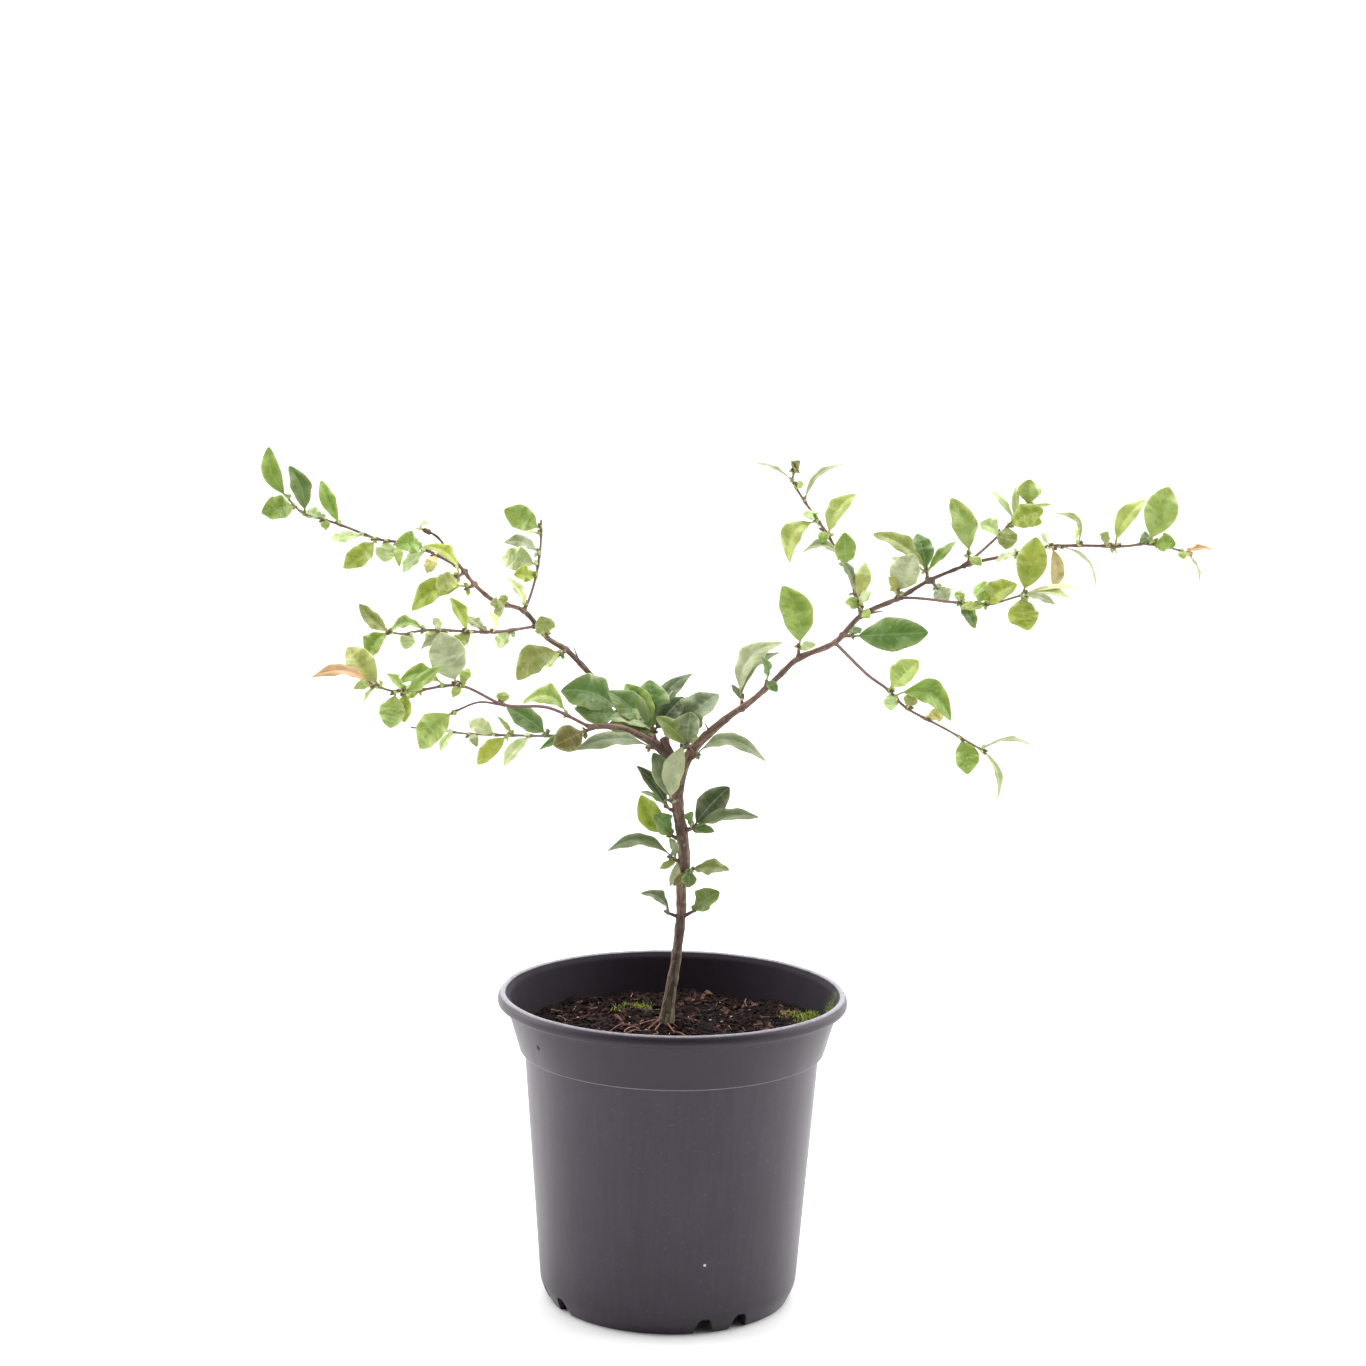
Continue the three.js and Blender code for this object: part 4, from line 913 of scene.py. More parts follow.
# Leafy shoots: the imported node, the look of its leaves and its stems. A stem has its radii at foot and
# tip, its centre line and its leaves. A leaf has its place on the line in points, reach x, y, z from there
# to the tip, width, turn of the upper side from the sky (0) to the front (90), then a bend as a share of
# the length and a sideways bow where they aren't 0.1 and 0, and a look from leafLooks where it has its own.
leafyShoots = [
    ("far_left_shoot", "fresh", [((0.9, 0.6), [(-93, -2, 315), (-108, 8, 321), (-119, 14, 323),
        (-129, 18, 324), (-142, 24, 328), (-152, 26, 331), (-161, 28, 333), (-165, 30, 336),
        (-168, 31, 339)], [
        (8, -9, 2, 22.5, 8.5, 75, 0.1, -0.14, "mid"), (6, -5.5, -5, 21, 9.5, 70, 0.1, 0.06, "dark"),
        (7, -13.5, -8, -2, 11.5, 65, 0.2, "mid"), (5, -10, 6, 3, 6.5, 50, "pale"),
        (4.3, -8.5, 3, 19, 7, 60, 0.1, -0.05, "mid"), (5, 1, -4, -4, 4.5, 50),
        (3.4, -16, 6, -2, 6.5, 45, 0.12, -0.12, "pale"), (3, -13.5, -6, -12, 10, 65, 0.14, -0.1, "bright"),
        (2.5, -1, -5, -8.5, 9.5, 65, "pale"), (2, 1, -9, -9, 4, 60),
        (1.1, -10, -9, 2, 10.5, 60, 0.2, "mid"), (0.9, -10.5, 2, -9.5, 7, 55, "pale"),
        (0.6, -3.5, -6, -7, 6, 50, "straw")])]),
    ("left_tip_leaves", "pale", [((0.8, 0.6), [(-105, -5, 329.5), (-109, -5, 331)], [
        (1, 1, -2, -1, 3, 40, 0.3), (1, 5, 3, 1.5, 3, 30, 0.2)])]),
    ("left_limb_bright_leaves", "bright", [((1.1, 0.8), [(-90, 0, 312.5), (-92, -3.5, 311)], [
        (1, -14.5, -7, 13, 7, 45, 0.15, 0.12), (1, -9, -6, -4.5, 9, 60, "lime")])]),
    ("left_fan_leaf", "bright", [((1.2, 0.9), [(-86, 2, 307), (-88, -1, 306)], [
        (1, -24, -4, -9.5, 11, 60, 0.15, 0.12)])]),
    ("left_bud_leaves", "dull", [((1.2, 0.9), [(-73, 8, 298), (-73.5, 5, 298)], [
        (1, -1, 2, 4.5, 4.5, 50), (1, -6, -3, 1, 6, 50, "dull"), (1, -4, -4, -5.5, 4.5, 60, "pale")])]),
    ("upright_left_shoot", "fresh", [((0.85, 0.6), [(-66, 12, 295), (-64, 16, 299), (-62, 22, 306),
        (-61, 28, 312), (-60, 32, 321), (-60, 34, 328), (-60, 34, 332)], [
        (5, -15.5, -5, 8.5, 11.5, 70, "mid"), (4.6, -7, 4, 0, 3, 20),
        (3.6, -15, -4, 5.5, 7.5, 40, 0.12, 0.1, "silver"), (3.1, -16, 4, 3, 11.5, 65, "pale"),
        (2.4, -9, -6, 1.5, 7.5, 60, 0.12, "bright"), (0.5, -7.5, -4, 12.5, 5.5, 50, "pale")])]),
    ("left_hugging_leaf", "dull", [((1.3, 1), [(-56, 17, 283), (-56, 13.5, 284)], [
        (1, -2.5, -4, 9, 9.5, 80, 0.12, "dull")])]),
    ("left_folded_leaf", "dull", [((1.3, 1), [(-48, 18, 278), (-49, 14.5, 277)], [
        (1, -19.5, -6, -11, 13, 65, 0.12, 0.16), (1, -8, 1, -7, 6, 40, "pale")])]),
    ("middle_left_shoot", "fresh", [((0.9, 0.6), [(-61, 15, 288), (-77, -6, 288), (-94, -20, 290),
        (-104, -28, 291), (-112, -33, 290), (-117, -37, 291)], [
        (5, -12.5, -3, 12, 7, 60, 0.1, -0.13, "dull"), (5, -8.5, -6, -10.5, 9, 55, 0.15, 0.14, "mid"),
        (3, -14.5, -4, -0.5, 7, 35, 0.15, 0.18, "mid"), (3.6, -2.5, -4, -6.5, 7, 70, "pale"),
        (1.6, -6.5, -4, 14.5, 6.5, 60, "bright"), (2.35, -3, -3, 5.5, 5, 60, 0.12, "pale"),
        (1.5, -8, -6, -7, 7, 50), (0.55, -7, 3, -8, 8, 60, "pale"), (1.2, -8.5, 5, 6, 5.5, 40, "silver"),
        (2.1, -10.5, -5, -7, 4.5, 60, "silver"), (2.3, -7, 5, -7, 7, 60),
        (1, -2, -5, 10, 4.5, 50, 0.15, -0.1, "straw")])]),
    ("front_left_shoot", "fresh", [((1, 0.6), [(-36.5, -15, 250), (-53, -30, 260), (-70, -44, 263),
        (-87, -54, 272), (-103, -61, 271), (-113, -65, 271), (-121, -68, 274)], [
        (5.6, -14, 5, 15.5, 11.5, 70, "lime"), (6, -23, -7, 4, 6.5, 40, 0.12, 0.1, "orange"),
        (6, -7, -5, -1, 4.5, 50), (5.8, -5, -2, -6, 2.5, 30), (3.4, -17.5, -5, 2, 8, 60, 0.12, 0.22, "mid"),
        (3.9, -9, 5, -3, 7, 60), (4.6, -5.5, -6, 8, 5, 50), (4.9, -2, -3, -14.5, 11, 70),
        (4.5, 0, -4, -12, 6.5, 65, "bright"), (3, 3, 3, 7, 5, 60), (3, -3, -5, -4, 4.5, 50),
        (3.1, -6.5, -1, 21.5, 16, 75, 0.08, "silver"), (2.05, 0, 3, 5, 6, 50),
        (0.55, -19, 4, 4.5, 10, 50, 0.12, 0.26), (4.5, 14.5, -6, 11.5, 6.5, 60, 0.1, 0.1, "mid")]),
        ((0.65, 0.6), [(-71, -44.5, 263), (-80, -51, 265), (-89, -56, 262)], [
        (2, -14, -4, -15, 12.5, 70, 0.12, 0.06)])]),
    ("low_left_shoot", "fresh", [((0.9, 0.6), [(-32, -14.3, 250), (-40, -10, 247), (-52, -3, 244),
        (-66, 8, 242), (-89, 22, 240), (-103, 31, 240), (-116, 37, 240)], [
        (4.5, -5.5, -5, -7.5, 4.5, 40, "pale"), (3.5, -12, 4, 5, 8, 60, "pale"),
        (2.2, -17, -5, 13, 10.5, 65, "deep"), (3.25, -13.5, -5, -12, 8, 65, 0.1, 0.05, "bright"),
        (2.75, -11.5, -4, -12.5, 6.5, 55, 0.15, "pale"), (0.8, -13, -6, -5.5, 12.5, 70, 0.12, "bronze"),
        (1.3, -14, -6, -6, 4, 55, "deep"), (3.2, -6, -3, 8.5, 2.6, 60, "dull"),
        (4, 3.5, -6, -4.5, 4.5, 55, 0.15, "silver")])]),
    ("crown_outer_leaf", "deep", [((1.4, 1), [(-24, 12, 253), (-25, 8, 253)], [
        (1, -24, -8, 10, 17, 60, 0.16, 0.06, "deep"), (1, -18, -12, 3, 11, 60, 0.12, -0.12, "deep")])]),
    ("crown_left_leaves", "deep", [((1.6, 1.1), [(-9, 7, 240), (-10, 3, 245)], [
        (1, -19, -2, 18, 12.5, 65, 0.12, "deep"), (1, -2, 5, 22, 16, 75, 0.08, "deep"),
        (1, -12, 3, 20.5, 12, 70, 0.08, "mid"), (0.9, -18.5, -9, 8, 8.5, 45, 0.15, 0.05, "silver"),
        (1, 12.5, 1, 15.5, 11, 65, "forest"), (0.9, -20, -6, 3.5, 10, 60, 0.12, 0.1, "grey")])]),
    ("crown_arching_leaf", "grey", [((1.4, 1), [(-8, -5.5, 240), (-11, -8.5, 240.5)], [
        (1, -30.5, -13, 1.5, 8.5, 40, 0.18, "grey")])]),
    ("crown_pointed_leaf", "deep", [((1.4, 1), [(-3, 4, 233), (-4, 11, 242)], [
        (1, 10, 5, 27, 9.5, 60, 0.15, -0.2, "grey"), (0.8, 1, -3, 22.5, 4.5, 40, 0.12, -0.15, "silver")])]),
    ("crown_right_leaves", "grey", [((1.6, 1.1), [(3, 0, 231), (2, 5, 240)], [
        (1, 15, 0, 22, 17, 50, 0.22, "grey")])]),
    ("crown_front_leaves", "deep", [((1.6, 1.1), [(7, 0, 238), (5, -4.5, 240)], [
        (1, 0.5, -2, 15.5, 14, 72, "grey"), (1, -13.5, -2, 13.5, 8.5, 65, "olive")])]),
    ("crown_right_arching_leaf", "grey", [((1.3, 1), [(4, 0, 233), (8, -4, 236.5)], [
        (1, 29.5, -7, 0, 8.5, 40, 0.38, "grey")])]),
    ("trunk_front_leaves", "grey", [((1.6, 1.1), [(1, 0, 217), (-2, -5.5, 217)], [
        (1, 4, -4, 24, 10, 75, "silver"), (1, -7.5, 0, 21, 9.5, 70, "grey")])]),
    ("trunk_dark_narrow_leaves", "deep", [((1.4, 1), [(1, 1, 211), (-3, 0, 213)], [
        (1, -13.5, -1, 18.5, 7, 60, "forest"), (0.9, -12.5, 3, 7, 4, 30, 0.15)])]),
    ("trunk_bright_leaf", "bright", [((1.5, 1), [(3, 1, 199), (-1.5, 1.5, 201)], [
        (1, -13.5, 3, 17, 11, 70, 0.1, -0.12, "bright"), (1, -7.5, -6, 10, 10, 60, "deep")])]),
    ("trunk_round_leaves", "deep", [((1.6, 1.1), [(3, 1, 203), (7.5, -1, 205)], [
        (1, 15, 0, 18, 12.5, 75, 0.1, -0.04, "forest"), (1, 27.5, -7, 7, 7.5, 40, 0.15, "grey"),
        (0.9, 0, -4, 8, 7, 60), (0.9, 9.5, -5, 0, 5, 50)])]),
    ("trunk_left_leaf", "grey", [((1.5, 1), [(4, 0, 189), (-1, -2, 192)], [
        (1, -27.5, -4, 4, 7.5, 40, 0.2, 0.12), (0.8, -2, -4, 10, 5.5, 60, "grey"),
        (0.6, -3, -3, -10.5, 4.5, 70, 0.1, -0.1, "silver"), (0.6, -7.5, -3, -3, 4, 50, "dull")])]),
    ("trunk_flat_leaves", "dull", [((1.5, 1), [(3, -1, 184), (6.5, -4.5, 187.5)], [
        (1, 16.5, -6, 2, 9, 35, 0.08, "olive"), (1, -0.5, -3, -7, 7, 60, "deep"),
        (0.7, -6, -3, -5.5, 4, 60, "bronze")])]),
    ("trunk_low_left_leaf", "grey", [((1.3, 0.9), [(3, -1, 166), (-2, -2, 168)], [
        (1, -12, -3, 9.5, 6.5, 40, 0.18, 0.12)])]),
    ("trunk_low_right_leaf", "bright", [((1.3, 0.9), [(3, -1, 166), (8, -2, 169)], [
        (1, 11, -5, 10, 10.5, 60, "olive")])]),
    ("right_pair_leaves", "grey", [((1.3, 0.9), [(27, -6.5, 257), (27, -6, 261)], [
        (1, 16, -4, 25.5, 11, 55, 0.15, -0.2, "silver"), (0.9, 15.5, 5, 20.5, 6, 40, 0.15, -0.14, "grey"),
        (0.9, -4.5, 1, 7, 3, 60)])]),
    ("right_small_dark_leaves", "deep", [((1.3, 0.9), [(37, -10.5, 267), (37, -12, 270.5)], [
        (1, -2, -8, 10.5, 5.5, 60), (0.9, 4.5, -4, -4, 5, 50, "deep")])]),
    ("right_large_leaf", "fresh", [((1.3, 0.9), [(50, -14, 280), (50, -15, 284)], [
        (1, -7, 0, 26.5, 14.5, 78, 0.06, 0.09, "mid"), (0.9, 7, -3, 3, 4.5, 60, "pale")])]),
    ("right_broad_leaf", "deep", [((1.3, 0.9), [(68, -13, 290), (71, -16, 290)], [
        (1, 32, -6, 3, 15, 70, 0.06), (0.8, 6, 2, 3, 4.5, 40)])]),
    ("right_pale_leaves", "pale", [((1.3, 0.9), [(91, -4.5, 304.5), (91, -7.5, 307)], [
        (1, 6, -3, 17, 14, 70, "silver"), (1, -4, -4, 7.5, 7, 60, "lime")])]),
    ("right_dark_leaves", "deep", [((1.2, 0.9), [(104, 1.5, 311.5), (104, 4, 315)], [
        (1, -23, -2, 16.5, 9, 50, 0.1, 0.05, "dull"), (1, -4, 6, 16, 10, 65, "deep"),
        (1, 12, 5, 13, 5, 45, 0.12, "mid"), (0.9, -15, 9, 6, 4, 40, "silver")])]),
    ("right_under_leaf", "deep", [((1.2, 0.9), [(106, 2, 312), (107, -1, 310)], [
        (1, 5, -4, -6.5, 8.5, 60, "silver")])]),
    ("right_oblong_leaf", "fresh", [((1.1, 0.8), [(122, 7, 318.5), (121.5, 6, 322)], [
        (1, -8, -1, 24.5, 11.5, 75, 0.06, 0.05, "fresh"), (0.9, 5, -5, -3, 5, 50)])]),
    ("right_upright_shoot", "fresh", [((1, 0.6), [(76, -10, 298), (74, -2, 305), (71, 8, 314),
        (65, 16, 325), (59, 22, 334), (53, 27, 342), (48, 30, 350), (48, 31, 354)], [
        (7, 2.5, -3, 5.5, 6.5, 60, "bronze"), (7, -1.5, -2, 5.5, 5.5, 30, "dull"),
        (6, -16, -4, 9, 3, 25, 0.1, -0.06, "silver"), (5, 15.5, 3, 16.5, 3.5, 40, 0.15, -0.1, "silver"),
        (5.7, 3, -4, 2, 4.5, 50), (3.3, 10.5, -4, 19, 9, 65, 0.1, -0.13, "lime"),
        (4, -12.5, -4, -17, 10, 60, 0.3, 0.22, "lime"), (4.2, -6, -5, 1.5, 5.5, 50, "pale"),
        (3.6, -1.5, -6, -5, 5, 60, "mid"), (2.2, -1, -5, 15, 10, 85, 0.08, "mid"),
        (2.5, -16.5, 4, 2, 5.5, 40, 0.2, 0.18, "silver"), (1.1, -6, -8, 15, 6, 55, "grey"),
        (0.7, 3, 5, 16.5, 7, 50, 0.2, 0.08, "lime"), (0.5, -6, -4, 2, 6, 50),
        (0.5, 4.5, -4, 6.5, 6, 50, "pale"), (0.25, 4, -5, -2, 5, 60)])]),
    ("right_hanging_shoot", "fresh", [((1, 0.6), [(65, -14, 287), (77, -34, 277), (85, -42, 272),
        (93, -48, 265), (108, -55, 258), (122, -62, 251)], [
        (2.1, 11.5, -3, 13, 11, 65, "fresh"), (2.2, 0, -4, -7, 6.5, 60, "pale"),
        (2.4, 23, -6, -8.5, 11.5, 65, 0.1, -0.25, "mid"), (3, 2.5, 3, 5.5, 6.5, 60, "dull"),
        (3.5, 8, 3, 1, 6.5, 50, "straw"), (4.4, 3.5, -4, -14.5, 10.5, 70, 0.1, -0.06, "mid"),
        (5, 22.5, 5, 0, 3.5, 25, 0.22, "silver"), (5, 7, -4, -19, 3.5, 40, 0.1, -0.12, "pale")])]),
    ("right_low_shoot", "fresh", [((0.9, 0.6), [(92, -4, 305), (100, -14, 306), (115, -28, 306),
        (125, -34, 306), (139, -40, 311)], [
        (2, 0, 3, 5, 5, 50), (1.95, 7, -4, -10, 6.5, 55, 0.12, -0.05, "deep"), (2.1, 3, -5, -2, 6, 50),
        (3.3, -8.5, 4, 6.5, 11, 60, 0.25, "mid"), (2.9, 13, -5, 9.5, 10.5, 60, 0.2, "bright"),
        (3, -7, -7, -1, 4.5, 40), (4, 2.5, -6, -13.5, 13, 70, 0.1, 0.12, "bright"),
        (4, 5.5, 4, 23.5, 13, 75, 0.06, 0.03, "bright"), (4, 19, -1, 0, 5, 40, 0.12, "pale"),
        (4, 12.5, -7, -2.5, 4.5, 40, 0.12, "silver"), (4, 26.5, 7, 2, 3.5, 25, 0.15, 0.1, "straw")])]),
    ("right_top_shoot", "fresh", [((0.9, 0.6), [(120, 7, 318), (130, 17, 325), (140, 28, 333),
        (149, 34, 342)], [
        (3, 0, -3, 11, 10, 80, "fresh"), (3, 6, 4, 7, 4.5, 50, 0.2), (2, 14, -7, 8, 11, 65, "bright"),
        (2, -1.5, -8, -9, 9.5, 70, "dull"), (1.6, -9, -4, 5, 8.5, 55, 0.2, "pale"),
        (2.3, 1, 4, 14, 3.5, 50, "pale"), (2.3, -9, 5, 12, 3.5, 50, "pale"), (2.6, 10, 3, 3, 4.5, 40),
        (2.2, 17, 4, 8, 3.5, 40), (2.35, 11, -5, -1, 8, 60, 0.12, "bright")])]),
    ("right_tip_shoot", "fresh", [((1, 0.6), [(123, 8, 319), (143, 4, 324), (153, 0, 327),
        (166, -2, 328), (185, -2, 328), (195, 0, 329), (206, 4, 327), (213, 6, 325)], [
        (7, 10, -2, 2, 3.5, 40, 0.15, "orange"), (7, 7, 3, -13, 3, 40, 0.12, "silver"),
        (6.6, 1, -4, -3, 4.5, 50), (5.1, 8, 3, 24, 14.5, 75, 0.06, "fresh"),
        (5.3, 8, -6, 1, 8.5, 60, "mid"), (4.7, 6, 6, 3, 7, 50, "deep"),
        (3.8, 12.5, 4, 19.5, 8, 65, 0.1, -0.1, "lime"), (3.6, 0, -4, 6.5, 6.5, 60, "dull"),
        (3.7, 3, 4, -3, 4.5, 50), (3, -11, 3, 13, 4, 40, 0.3, 0.22, "dull"), (3, 0, -4, 8, 3.5, 50),
        (2.2, 1.5, -3, -18, 6.5, 65, 0.1, -0.08, "blush"),
        (2.4, 17.5, 4, -21.5, 3.5, 30, 0.2, -0.1, "silver"), (2.1, -4, -5, 6, 4.5, 50, "pale"),
        (0.9, -9, -5, -3, 4, 30, "pale")])]),
]
# The grey and the silver looks are partly painted sheen: their grey-green stands for the whitish reflection
# of the bright surroundings on the leaves' upper sides, besides the leaves' own colour
leafLooks = Settings(
    fresh=seen(164, 182, 92), bright=seen(161, 173, 60), pale=seen(192, 206, 150), deep=seen(98, 129, 62),
    grey=seen(107, 121, 84), dull=seen(150, 157, 86), mid=seen(140, 167, 66), dark=seen(94, 126, 42),
    lime=seen(184, 190, 105), silver=seen(168, 177, 138), straw=seen(240, 224, 155),
    orange=seen(216, 168, 124), bronze=seen(114, 106, 51), blush=seen(190, 172, 122),
    forest=seen(62, 80, 42), olive=seen(120, 137, 62))
leafShape = {
    "Rows": 48, "Around": 24, "Little Rows": 16, "Little Around": 10, "Blade Thickness": 0.34 * mm,
    "Petiole Thickness": 0.85 * mm, "Petiole Half Width": 0.46 * mm, "Fold": 0.36, "Cup": 0.2, "Teeth": 16.0,
    "Tooth Depth": 0.04, "Waves": 2.2, "Wave Height": 0.08, "Vein Pairs": 9.0, "Vein Slant": 0.22,
    "Vein Depth": 0.022, "Stem Sides": 12,
}
# form: the petiole's share of the length, where the blade is widest and how full it is
shootHabit = Settings(
    smallWidth=7.6, littleLength=9, form=(0.12, 1.04, 0.74), smallForm=(0.08, 1.06, 0.8), narrowing=0.98,
    bend=0.1, shadeSpread=0.12, tintSpread=0.04, bowSpread=0.02, twistSpread=0.5, stemStep=1.1, slimming=0.74,
    swellAtLeaf=0.4, swellReach=1.2, stipuleLength=3.0, stipuleWidth=1.9, stipuleSpread=(0.6, 1.25),
    stipuleTurn=(20, 80), barestWidth=6, budLength=1.5, budRadius=0.75, budOffset=1.4, budAge=0.55, seed=11)
leafKind, littleKind, budKind = 1, 2, 3


def makeShootTree():
    tree, given, result = newGroup("leafyShoot", "GeometryNodeTree", {
        "Shoot": "Geometry", **leafShape, "Leaf Material": "Material", "Twig Material": "Material",
    }, {"Shoot": "Geometry"})
    leaves = growLeaves(given)
    stems = coat(growTube(given["Shoot"], given["Stem Sides"]), given["Twig Material"])
    smooth = geometry("SetShadeSmooth", {0: join(growBuds(given), stems, leaves)})
    feed(result[0], smooth)
    return tree


def join(*parts):
    node = addNode("GeometryNodeJoinGeometry")
    for part in parts:
        feed(node.inputs[0], part)
    return Wire(node.outputs[0])


def placeAt(given, kind, shape, **how):  # one shape at each point of the kind
    inputs = {2: readField("pointKind", "INT"), 3: kind}
    chosen = wire("FunctionNodeCompare", inputs, data_type="INT", operation="EQUAL")
    return geometry("InstanceOnPoints", {
        "Points": given["Shoot"], "Selection": chosen, "Instance": shape, **how})


def growBuds(given):
    ball = geometry("MeshIcoSphere", {0: 1.0, 1: 2})
    facing = wire("FunctionNodeAlignRotationToVector", {"Vector": readField("leafAlong")}, axis="Z")
    placed = placeAt(given, budKind, ball, Rotation=facing, Scale=readField("leafSize"))
    return coat(geometry("RealizeInstances", {0: placed}), given["Twig Material"])


# A closed sleeve one unit long: share of the length in x, and a unit circle in y and z
def leafSleeve(rows, around):
    sheet = geometry("MeshGrid", {0: 1.0, 1: 1.0, 2: rows + 1, 3: around + 1})
    x, y, _ = separate(geometry("InputPosition"))
    share = x + 0.5
    angle = (y + 0.5) * fullTurn
    toEnd = calc("MINIMUM", calc("MINIMUM", share, 1.0 - share) * rows, 1.0)
    circle = combine(share, calc("COSINE", angle) * toEnd, calc("SINE", angle) * toEnd)
    rolled = setPosition(sheet, Position=circle)
    closed = geometry("MergeByDistance", {"Geometry": rolled, "Distance": 1e-5})
    return storeField(closed, "leafPoint", geometry("InputPosition"), "FLOAT_VECTOR", "POINT")


def growLeaves(given):
    whole = geometry("RealizeInstances", {0: join(
        placeAt(given, littleKind, leafSleeve(given["Little Rows"], given["Little Around"])),
        placeAt(given, leafKind, leafSleeve(given["Rows"], given["Around"])))})
    share, across, over = separate(readField("leafPoint"))
    length, width, bend = separate(readField("leafSize"))
    petiole, skew, fullness = separate(readField("leafForm"))
    seed, sway, twist = separate(readField("leafSway"))

    def wave(turns):
        return calc("SINE", turns * fullTurn)

    alongBlade = calc("DIVIDE", share - petiole, 1.0 - petiole, clamp=True)
    outline = calc("SINE", calc("POWER", alongBlade, skew) * math.pi)
    spread = calc("POWER", calc("MAXIMUM", outline, 0.0), fullness)
    tooth = calc("FRACT", share * given["Teeth"]) - 0.5
    toothed = 1.0 + tooth * given["Tooth Depth"] * remap(alongBlade, 0.12, 0.35)
    narrow = calc("MINIMUM", given["Petiole Half Width"], width * 0.13)
    halfWidth = calc("MAXIMUM", spread * width * 0.5 * toothed, narrow)
    offRib = calc("ABSOLUTE", across)
    fold = given["Fold"] * (0.55 + calc("FRACT", seed * 7.3)) * offRib * halfWidth * spread
    cup = given["Cup"] * halfWidth * calc("POWER", offRib, 3.0) * spread * -1.0
    swing = wave(share * given["Waves"] + seed)
    ripple = wave(share * (given["Waves"] * 1.7) + seed * 3.7)
    edge = given["Wave Height"] * width * spread * offRib * (swing * across + ripple * 0.6)
    ribs = calc("COSINE", (share - given["Vein Slant"] * offRib) * given["Vein Pairs"] * fullTurn)
    deep = given["Vein Depth"] * width * spread
    quilt = deep * remap(offRib, 1.0, 0.75) * remap(offRib, 0.04, 0.25) * (ribs * -1.0)
    groove = deep * -1.2 * remap(offRib, 0.16, 0.0)
    arch = bend * length * 4.0 * share * (1.0 - share)
    tipDrop = length * -0.035 * calc("POWER", alongBlade, 3.0)
    twisted = twist * (share - 0.5) * across * halfWidth
    bladeness = remap(alongBlade, 0.0, 0.12)
    stalk = calc("MINIMUM", given["Petiole Thickness"], narrow * 1.9)
    thickness = stalk + bladeness * (given["Blade Thickness"] - stalk)
    slab = calc("MAXIMUM", calc("MINIMUM", over * (bladeness * 2.5 + 1.0), 1.0), -1.0)
    lift = thickness * 0.5 * slab + fold + cup + edge + quilt + groove + arch + tipDrop + twisted
    sideways = across * halfWidth + sway * length * 4.0 * share * (1.0 - share)
    place = readField("leafBase")
    for axis, distance in (("leafAlong", share * length), ("leafAcross", sideways), ("leafFace", lift)):
        place = vectorCalc("ADD", place, vectorCalc("SCALE", readField(axis), Scale=distance))
    shaped = setPosition(whole, Position=place)
    under = calc("MULTIPLY_ADD", over, -4.0, 0.5, clamp=True)
    sided = storeField(shaped, "underside", under, "FLOAT", "POINT")
    mapped = storeField(sided, "leafUv", combine(across * 0.5 + 0.5, share, 0.0), "FLOAT2", "CORNER")
    return coat(mapped, given["Leaf Material"])


# One point for each leaf, stipule and bud, and a line of points for each stem, with what the tree reads
class ShootPoints:
    fields = {"pointKind": "INT", "stemRadius": "FLOAT", "stemAge": "FLOAT", "leafLook": "FLOAT_COLOR",
              **{"leaf" + word: "FLOAT_VECTOR"
                 for word in ("Base", "Along", "Across", "Face", "Size", "Form", "Sway")}}
    blank = {"FLOAT": 0.0, "INT": 0, "FLOAT_VECTOR": (0.0, 0.0, 0.0), "FLOAT_COLOR": (0.5, 0.5, 0.5, 1.0)}

    def __init__(self):
        self.points, self.links, self.rows = [], [], []

    def add(self, place, **values):
        self.points.append(tuple(place))
        self.rows.append(values)
        return len(self.points) - 1

    def toObject(self, name):
        mesh = newMesh(name, self.points, self.links)
        for field, kind in self.fields.items():
            setAttribute(mesh, field, kind, [row.get(field, self.blank[kind]) for row in self.rows])
        return newObject(name, mesh)


# The leaf's own axes: along it, across it, and out of its upper side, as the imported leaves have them
def leafAxes(reach, turn):
    along = unit(reach)
    up = unit(np.array([0.0, 0.0, 1.0]) - along * along[2])
    toFront = np.array([0.0, -1.0, 0.0]) + along * along[1]
    side = np.cross(along, up)
    angle = math.atan2(toFront.dot(side), toFront.dot(up)) * turn / 90
    face = up * math.cos(angle) + side * math.sin(angle)
    return along, np.cross(along, face), face


def addLeaf(cloud, base, reach, width, turn, bend, bow, look, chance, kind=None):
    length = np.linalg.norm(reach)
    along, across, face = leafAxes(reach, turn)
    shade = 1 + chance.uniform(-shootHabit.shadeSpread, shootHabit.shadeSpread)
    tints = [1 + chance.uniform(-shootHabit.tintSpread, shootHabit.tintSpread) for _ in range(3)]
    colour = [min(1.0, channel * shade * tint) for channel, tint in zip(look, tints)] + [1.0]
    sway = (chance.uniform(0, 1), bow + chance.uniform(-shootHabit.bowSpread, shootHabit.bowSpread),
            chance.uniform(-shootHabit.twistSpread, shootHabit.twistSpread))
    kind = kind or (leafKind if length > shootHabit.littleLength else littleKind)
    form = shootHabit.form if width > shootHabit.smallWidth else shootHabit.smallForm
    size = (length * mm, width * shootHabit.narrowing * mm, bend)
    cloud.add(base * mm, pointKind=kind, leafBase=base * mm, leafAlong=along, leafAcross=across,
              leafFace=face, leafSize=size, leafForm=form, leafLook=colour, leafSway=sway)


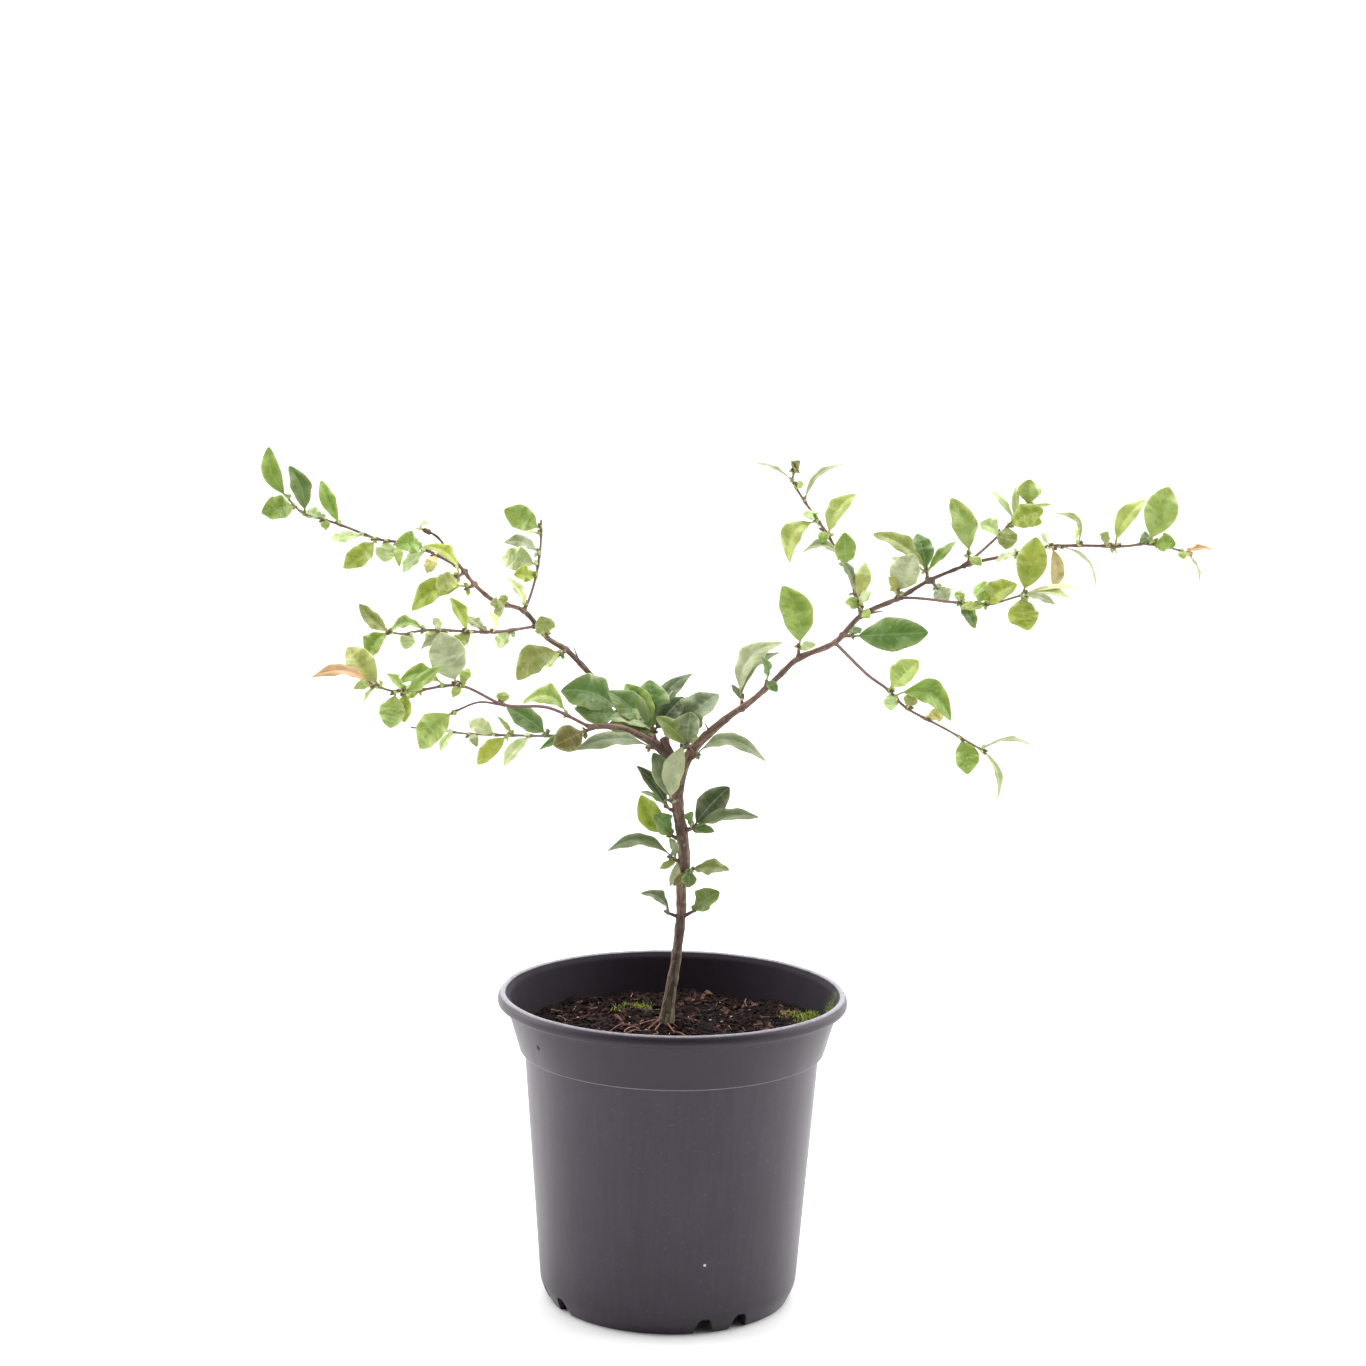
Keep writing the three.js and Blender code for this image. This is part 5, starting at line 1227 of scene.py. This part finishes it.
def addShootStem(cloud, stem, own, chance):
    radii, path, leaves = stem
    path = np.array(path, float)
    places, points = samplePath(path, shootHabit.stemStep)
    last = len(path) - 1
    leafPlaces = np.array([leaf[0] for leaf in leaves])
    stepLength = np.linalg.norm(np.diff(points, axis=0), axis=1).mean() * len(points) / last
    before = None
    for place, point in zip(places, points):
        near = np.abs(leafPlaces - place).min() * stepLength
        swell = shootHabit.swellAtLeaf * math.exp(-(near / shootHabit.swellReach) ** 2) * (last > 1)
        radius = (np.interp(place, (0, last), radii) + swell) * shootHabit.slimming
        age = 1 - place / last * (0.75 if last > 2 else 0.2)
        index = cloud.add(point * mm, stemRadius=radius * mm, stemAge=age)
        if before is not None:
            cloud.links.append((before, index))
        before = index
    for leaf in leaves:
        *numbers, look = leaf if isinstance(leaf[-1], str) else (*leaf, own)
        place, x, y, z, width, turn, bend, bow = (*numbers, *(shootHabit.bend, 0)[len(numbers) - 6:])
        base, reach = pathPoint(path, place), np.array([x, y, z], float)
        addLeaf(cloud, base, reach, width, turn, bend, bow, leafLooks[look][:3], chance)
        if last > 1 or width > shootHabit.barestWidth:
            addStipules(cloud, base, reach, path, place, leafLooks[look][:3], chance)


# Each leaf of a shoot has two round stipules and a bud at its foot
def addStipules(cloud, base, reach, path, place, look, chance):
    ahead = unit(pathPoint(path, min(place + 0.05, len(path) - 1)) - pathPoint(path, max(place - 0.05, 0)))
    out = unit(reach)
    side = np.cross(ahead, out)
    side /= max(np.linalg.norm(side), 0.1)
    for sign in (-1, 1):
        share = chance.uniform(*shootHabit.stipuleSpread)
        lean = out * 0.5 + side * sign * 0.9 + ahead * chance.uniform(-0.1, 0.5)
        lean = unit(lean + np.array([0, 0, chance.uniform(-0.2, 0.3)])) * shootHabit.stipuleLength * share
        width, turn = shootHabit.stipuleWidth * share, chance.uniform(*shootHabit.stipuleTurn)
        addLeaf(cloud, base, lean, width, turn, shootHabit.bend, 0, look, chance, kind=littleKind)
    budWay = unit(out * 0.6 + ahead * 0.8)
    radius = shootHabit.budRadius * mm
    cloud.add((base + budWay * shootHabit.budOffset) * mm, pointKind=budKind, leafAlong=budWay,
              stemAge=shootHabit.budAge, leafSize=(radius, radius, shootHabit.budLength * mm))


def makeShoots():
    tree = makeShootTree()
    twig = makeTwigMaterial("youngTwig")
    looks = sorted({look for node, look, stems in leafyShoots})
    blades = {look: makeLeafMaterial("leaf" + look + "Blade") for look in looks}
    for number, (node, look, stems) in enumerate(leafyShoots):
        chance = np.random.default_rng(shootHabit.seed + number)
        cloud = ShootPoints()
        for stem in stems:
            addShootStem(cloud, stem, look, chance)
        name = "".join(word.capitalize() for word in node.split("_"))
        piece = cloud.toObject(name[0].lower() + name[1:])
        addTree(piece, tree, {**leafShape, "Leaf Material": blades[look], "Twig Material": twig})
        makePlain(piece)
        finishPiece(piece, "leaf_" + look, node)


makeOldWood()
makeThorns()
makeSurfaceRoots()
print("wood made")
makeShoots()
print("shoots made")


# The setting: the photo's camera, a white floor and soft light from all round
stage = Settings(
    cameraPlace=(0.0022, -1.168, 0.435), pitch=8.19, roll=0.97, lens=73.8, sensor=36.0, backdrop=2.4,
    frontShade=0.12, sideLight=10.0, topLight=16.0, aim=(0, 0, 0.2), floorTone=0.93, floorSize=60.0)


def placeCamera():
    pitch, roll = math.radians(stage.pitch), math.radians(stage.roll)
    forward = Vector((0, math.cos(pitch), -math.sin(pitch)))
    level = Vector((1, 0, 0))
    upright = level.cross(forward)
    right = level * math.cos(roll) + upright * math.sin(roll)
    up = upright * math.cos(roll) - level * math.sin(roll)
    turned = Matrix((right, up, -forward)).transposed().to_4x4()
    lens = bpy.data.cameras.new("photoView")
    lens.lens, lens.sensor_width = stage.lens, stage.sensor
    scene.camera = newObject("photoView", lens)
    scene.camera.matrix_world = Matrix.Translation(stage.cameraPlace) @ turned


def addSoftLight(name, place, size, power):
    light = bpy.data.lights.new(name, "AREA")
    light.shape, light.size, light.energy = "SQUARE", size, power
    lamp = newObject(name, light)
    lamp.location = place
    lamp.rotation_euler = (Vector(stage.aim) - Vector(place)).to_track_quat("-Z", "Y").to_euler()


# White all round, greyer on the viewer's side, so the pot's front stays dark between bright edges
def makeBackdrop():
    world = bpy.data.worlds.new("softWhite")
    world.use_nodes = True
    inHand["tree"] = world.node_tree
    inHand.tree.nodes.clear()
    y = separate(wire("ShaderNodeTexCoord", None, "Generated"))[1]
    strength = remap(y, -0.9, 0.35, stage.frontShade, stage.backdrop)
    glow = wire("ShaderNodeBackground", {"Color": (1, 1, 1, 1), "Strength": strength})
    addNode("ShaderNodeOutputWorld", {0: glow})
    scene.world = world


def makeFloor():
    half, tone = stage.floorSize / 2, stage.floorTone
    corners = [(-half, -half, 0), (half, -half, 0), (half, half, 0), (-half, half, 0)]
    floor = newObject("whiteFloor", newMesh("whiteFloor", corners, faces=[(0, 1, 2, 3)]))
    floor.data.materials.append(newMaterial("whiteFloor"))
    setShader({"Base Color": (tone, tone, tone, 1), "Roughness": 0.9, "Specular IOR Level": 0.1})


def makeStage():
    placeCamera()
    makeBackdrop()
    makeFloor()
    addSoftLight("leftSoftbox", (-1.5, 0.3, 0.9), 1.2, stage.sideLight)
    addSoftLight("rightSoftbox", (1.5, 0.3, 0.9), 1.2, stage.sideLight)
    addSoftLight("topSoftbox", (0.1, 0.3, 1.9), 1.6, stage.topLight)
    scene.view_settings.view_transform = "Standard"
    scene.view_settings.look = "None"


makeStage()
print("stage set")
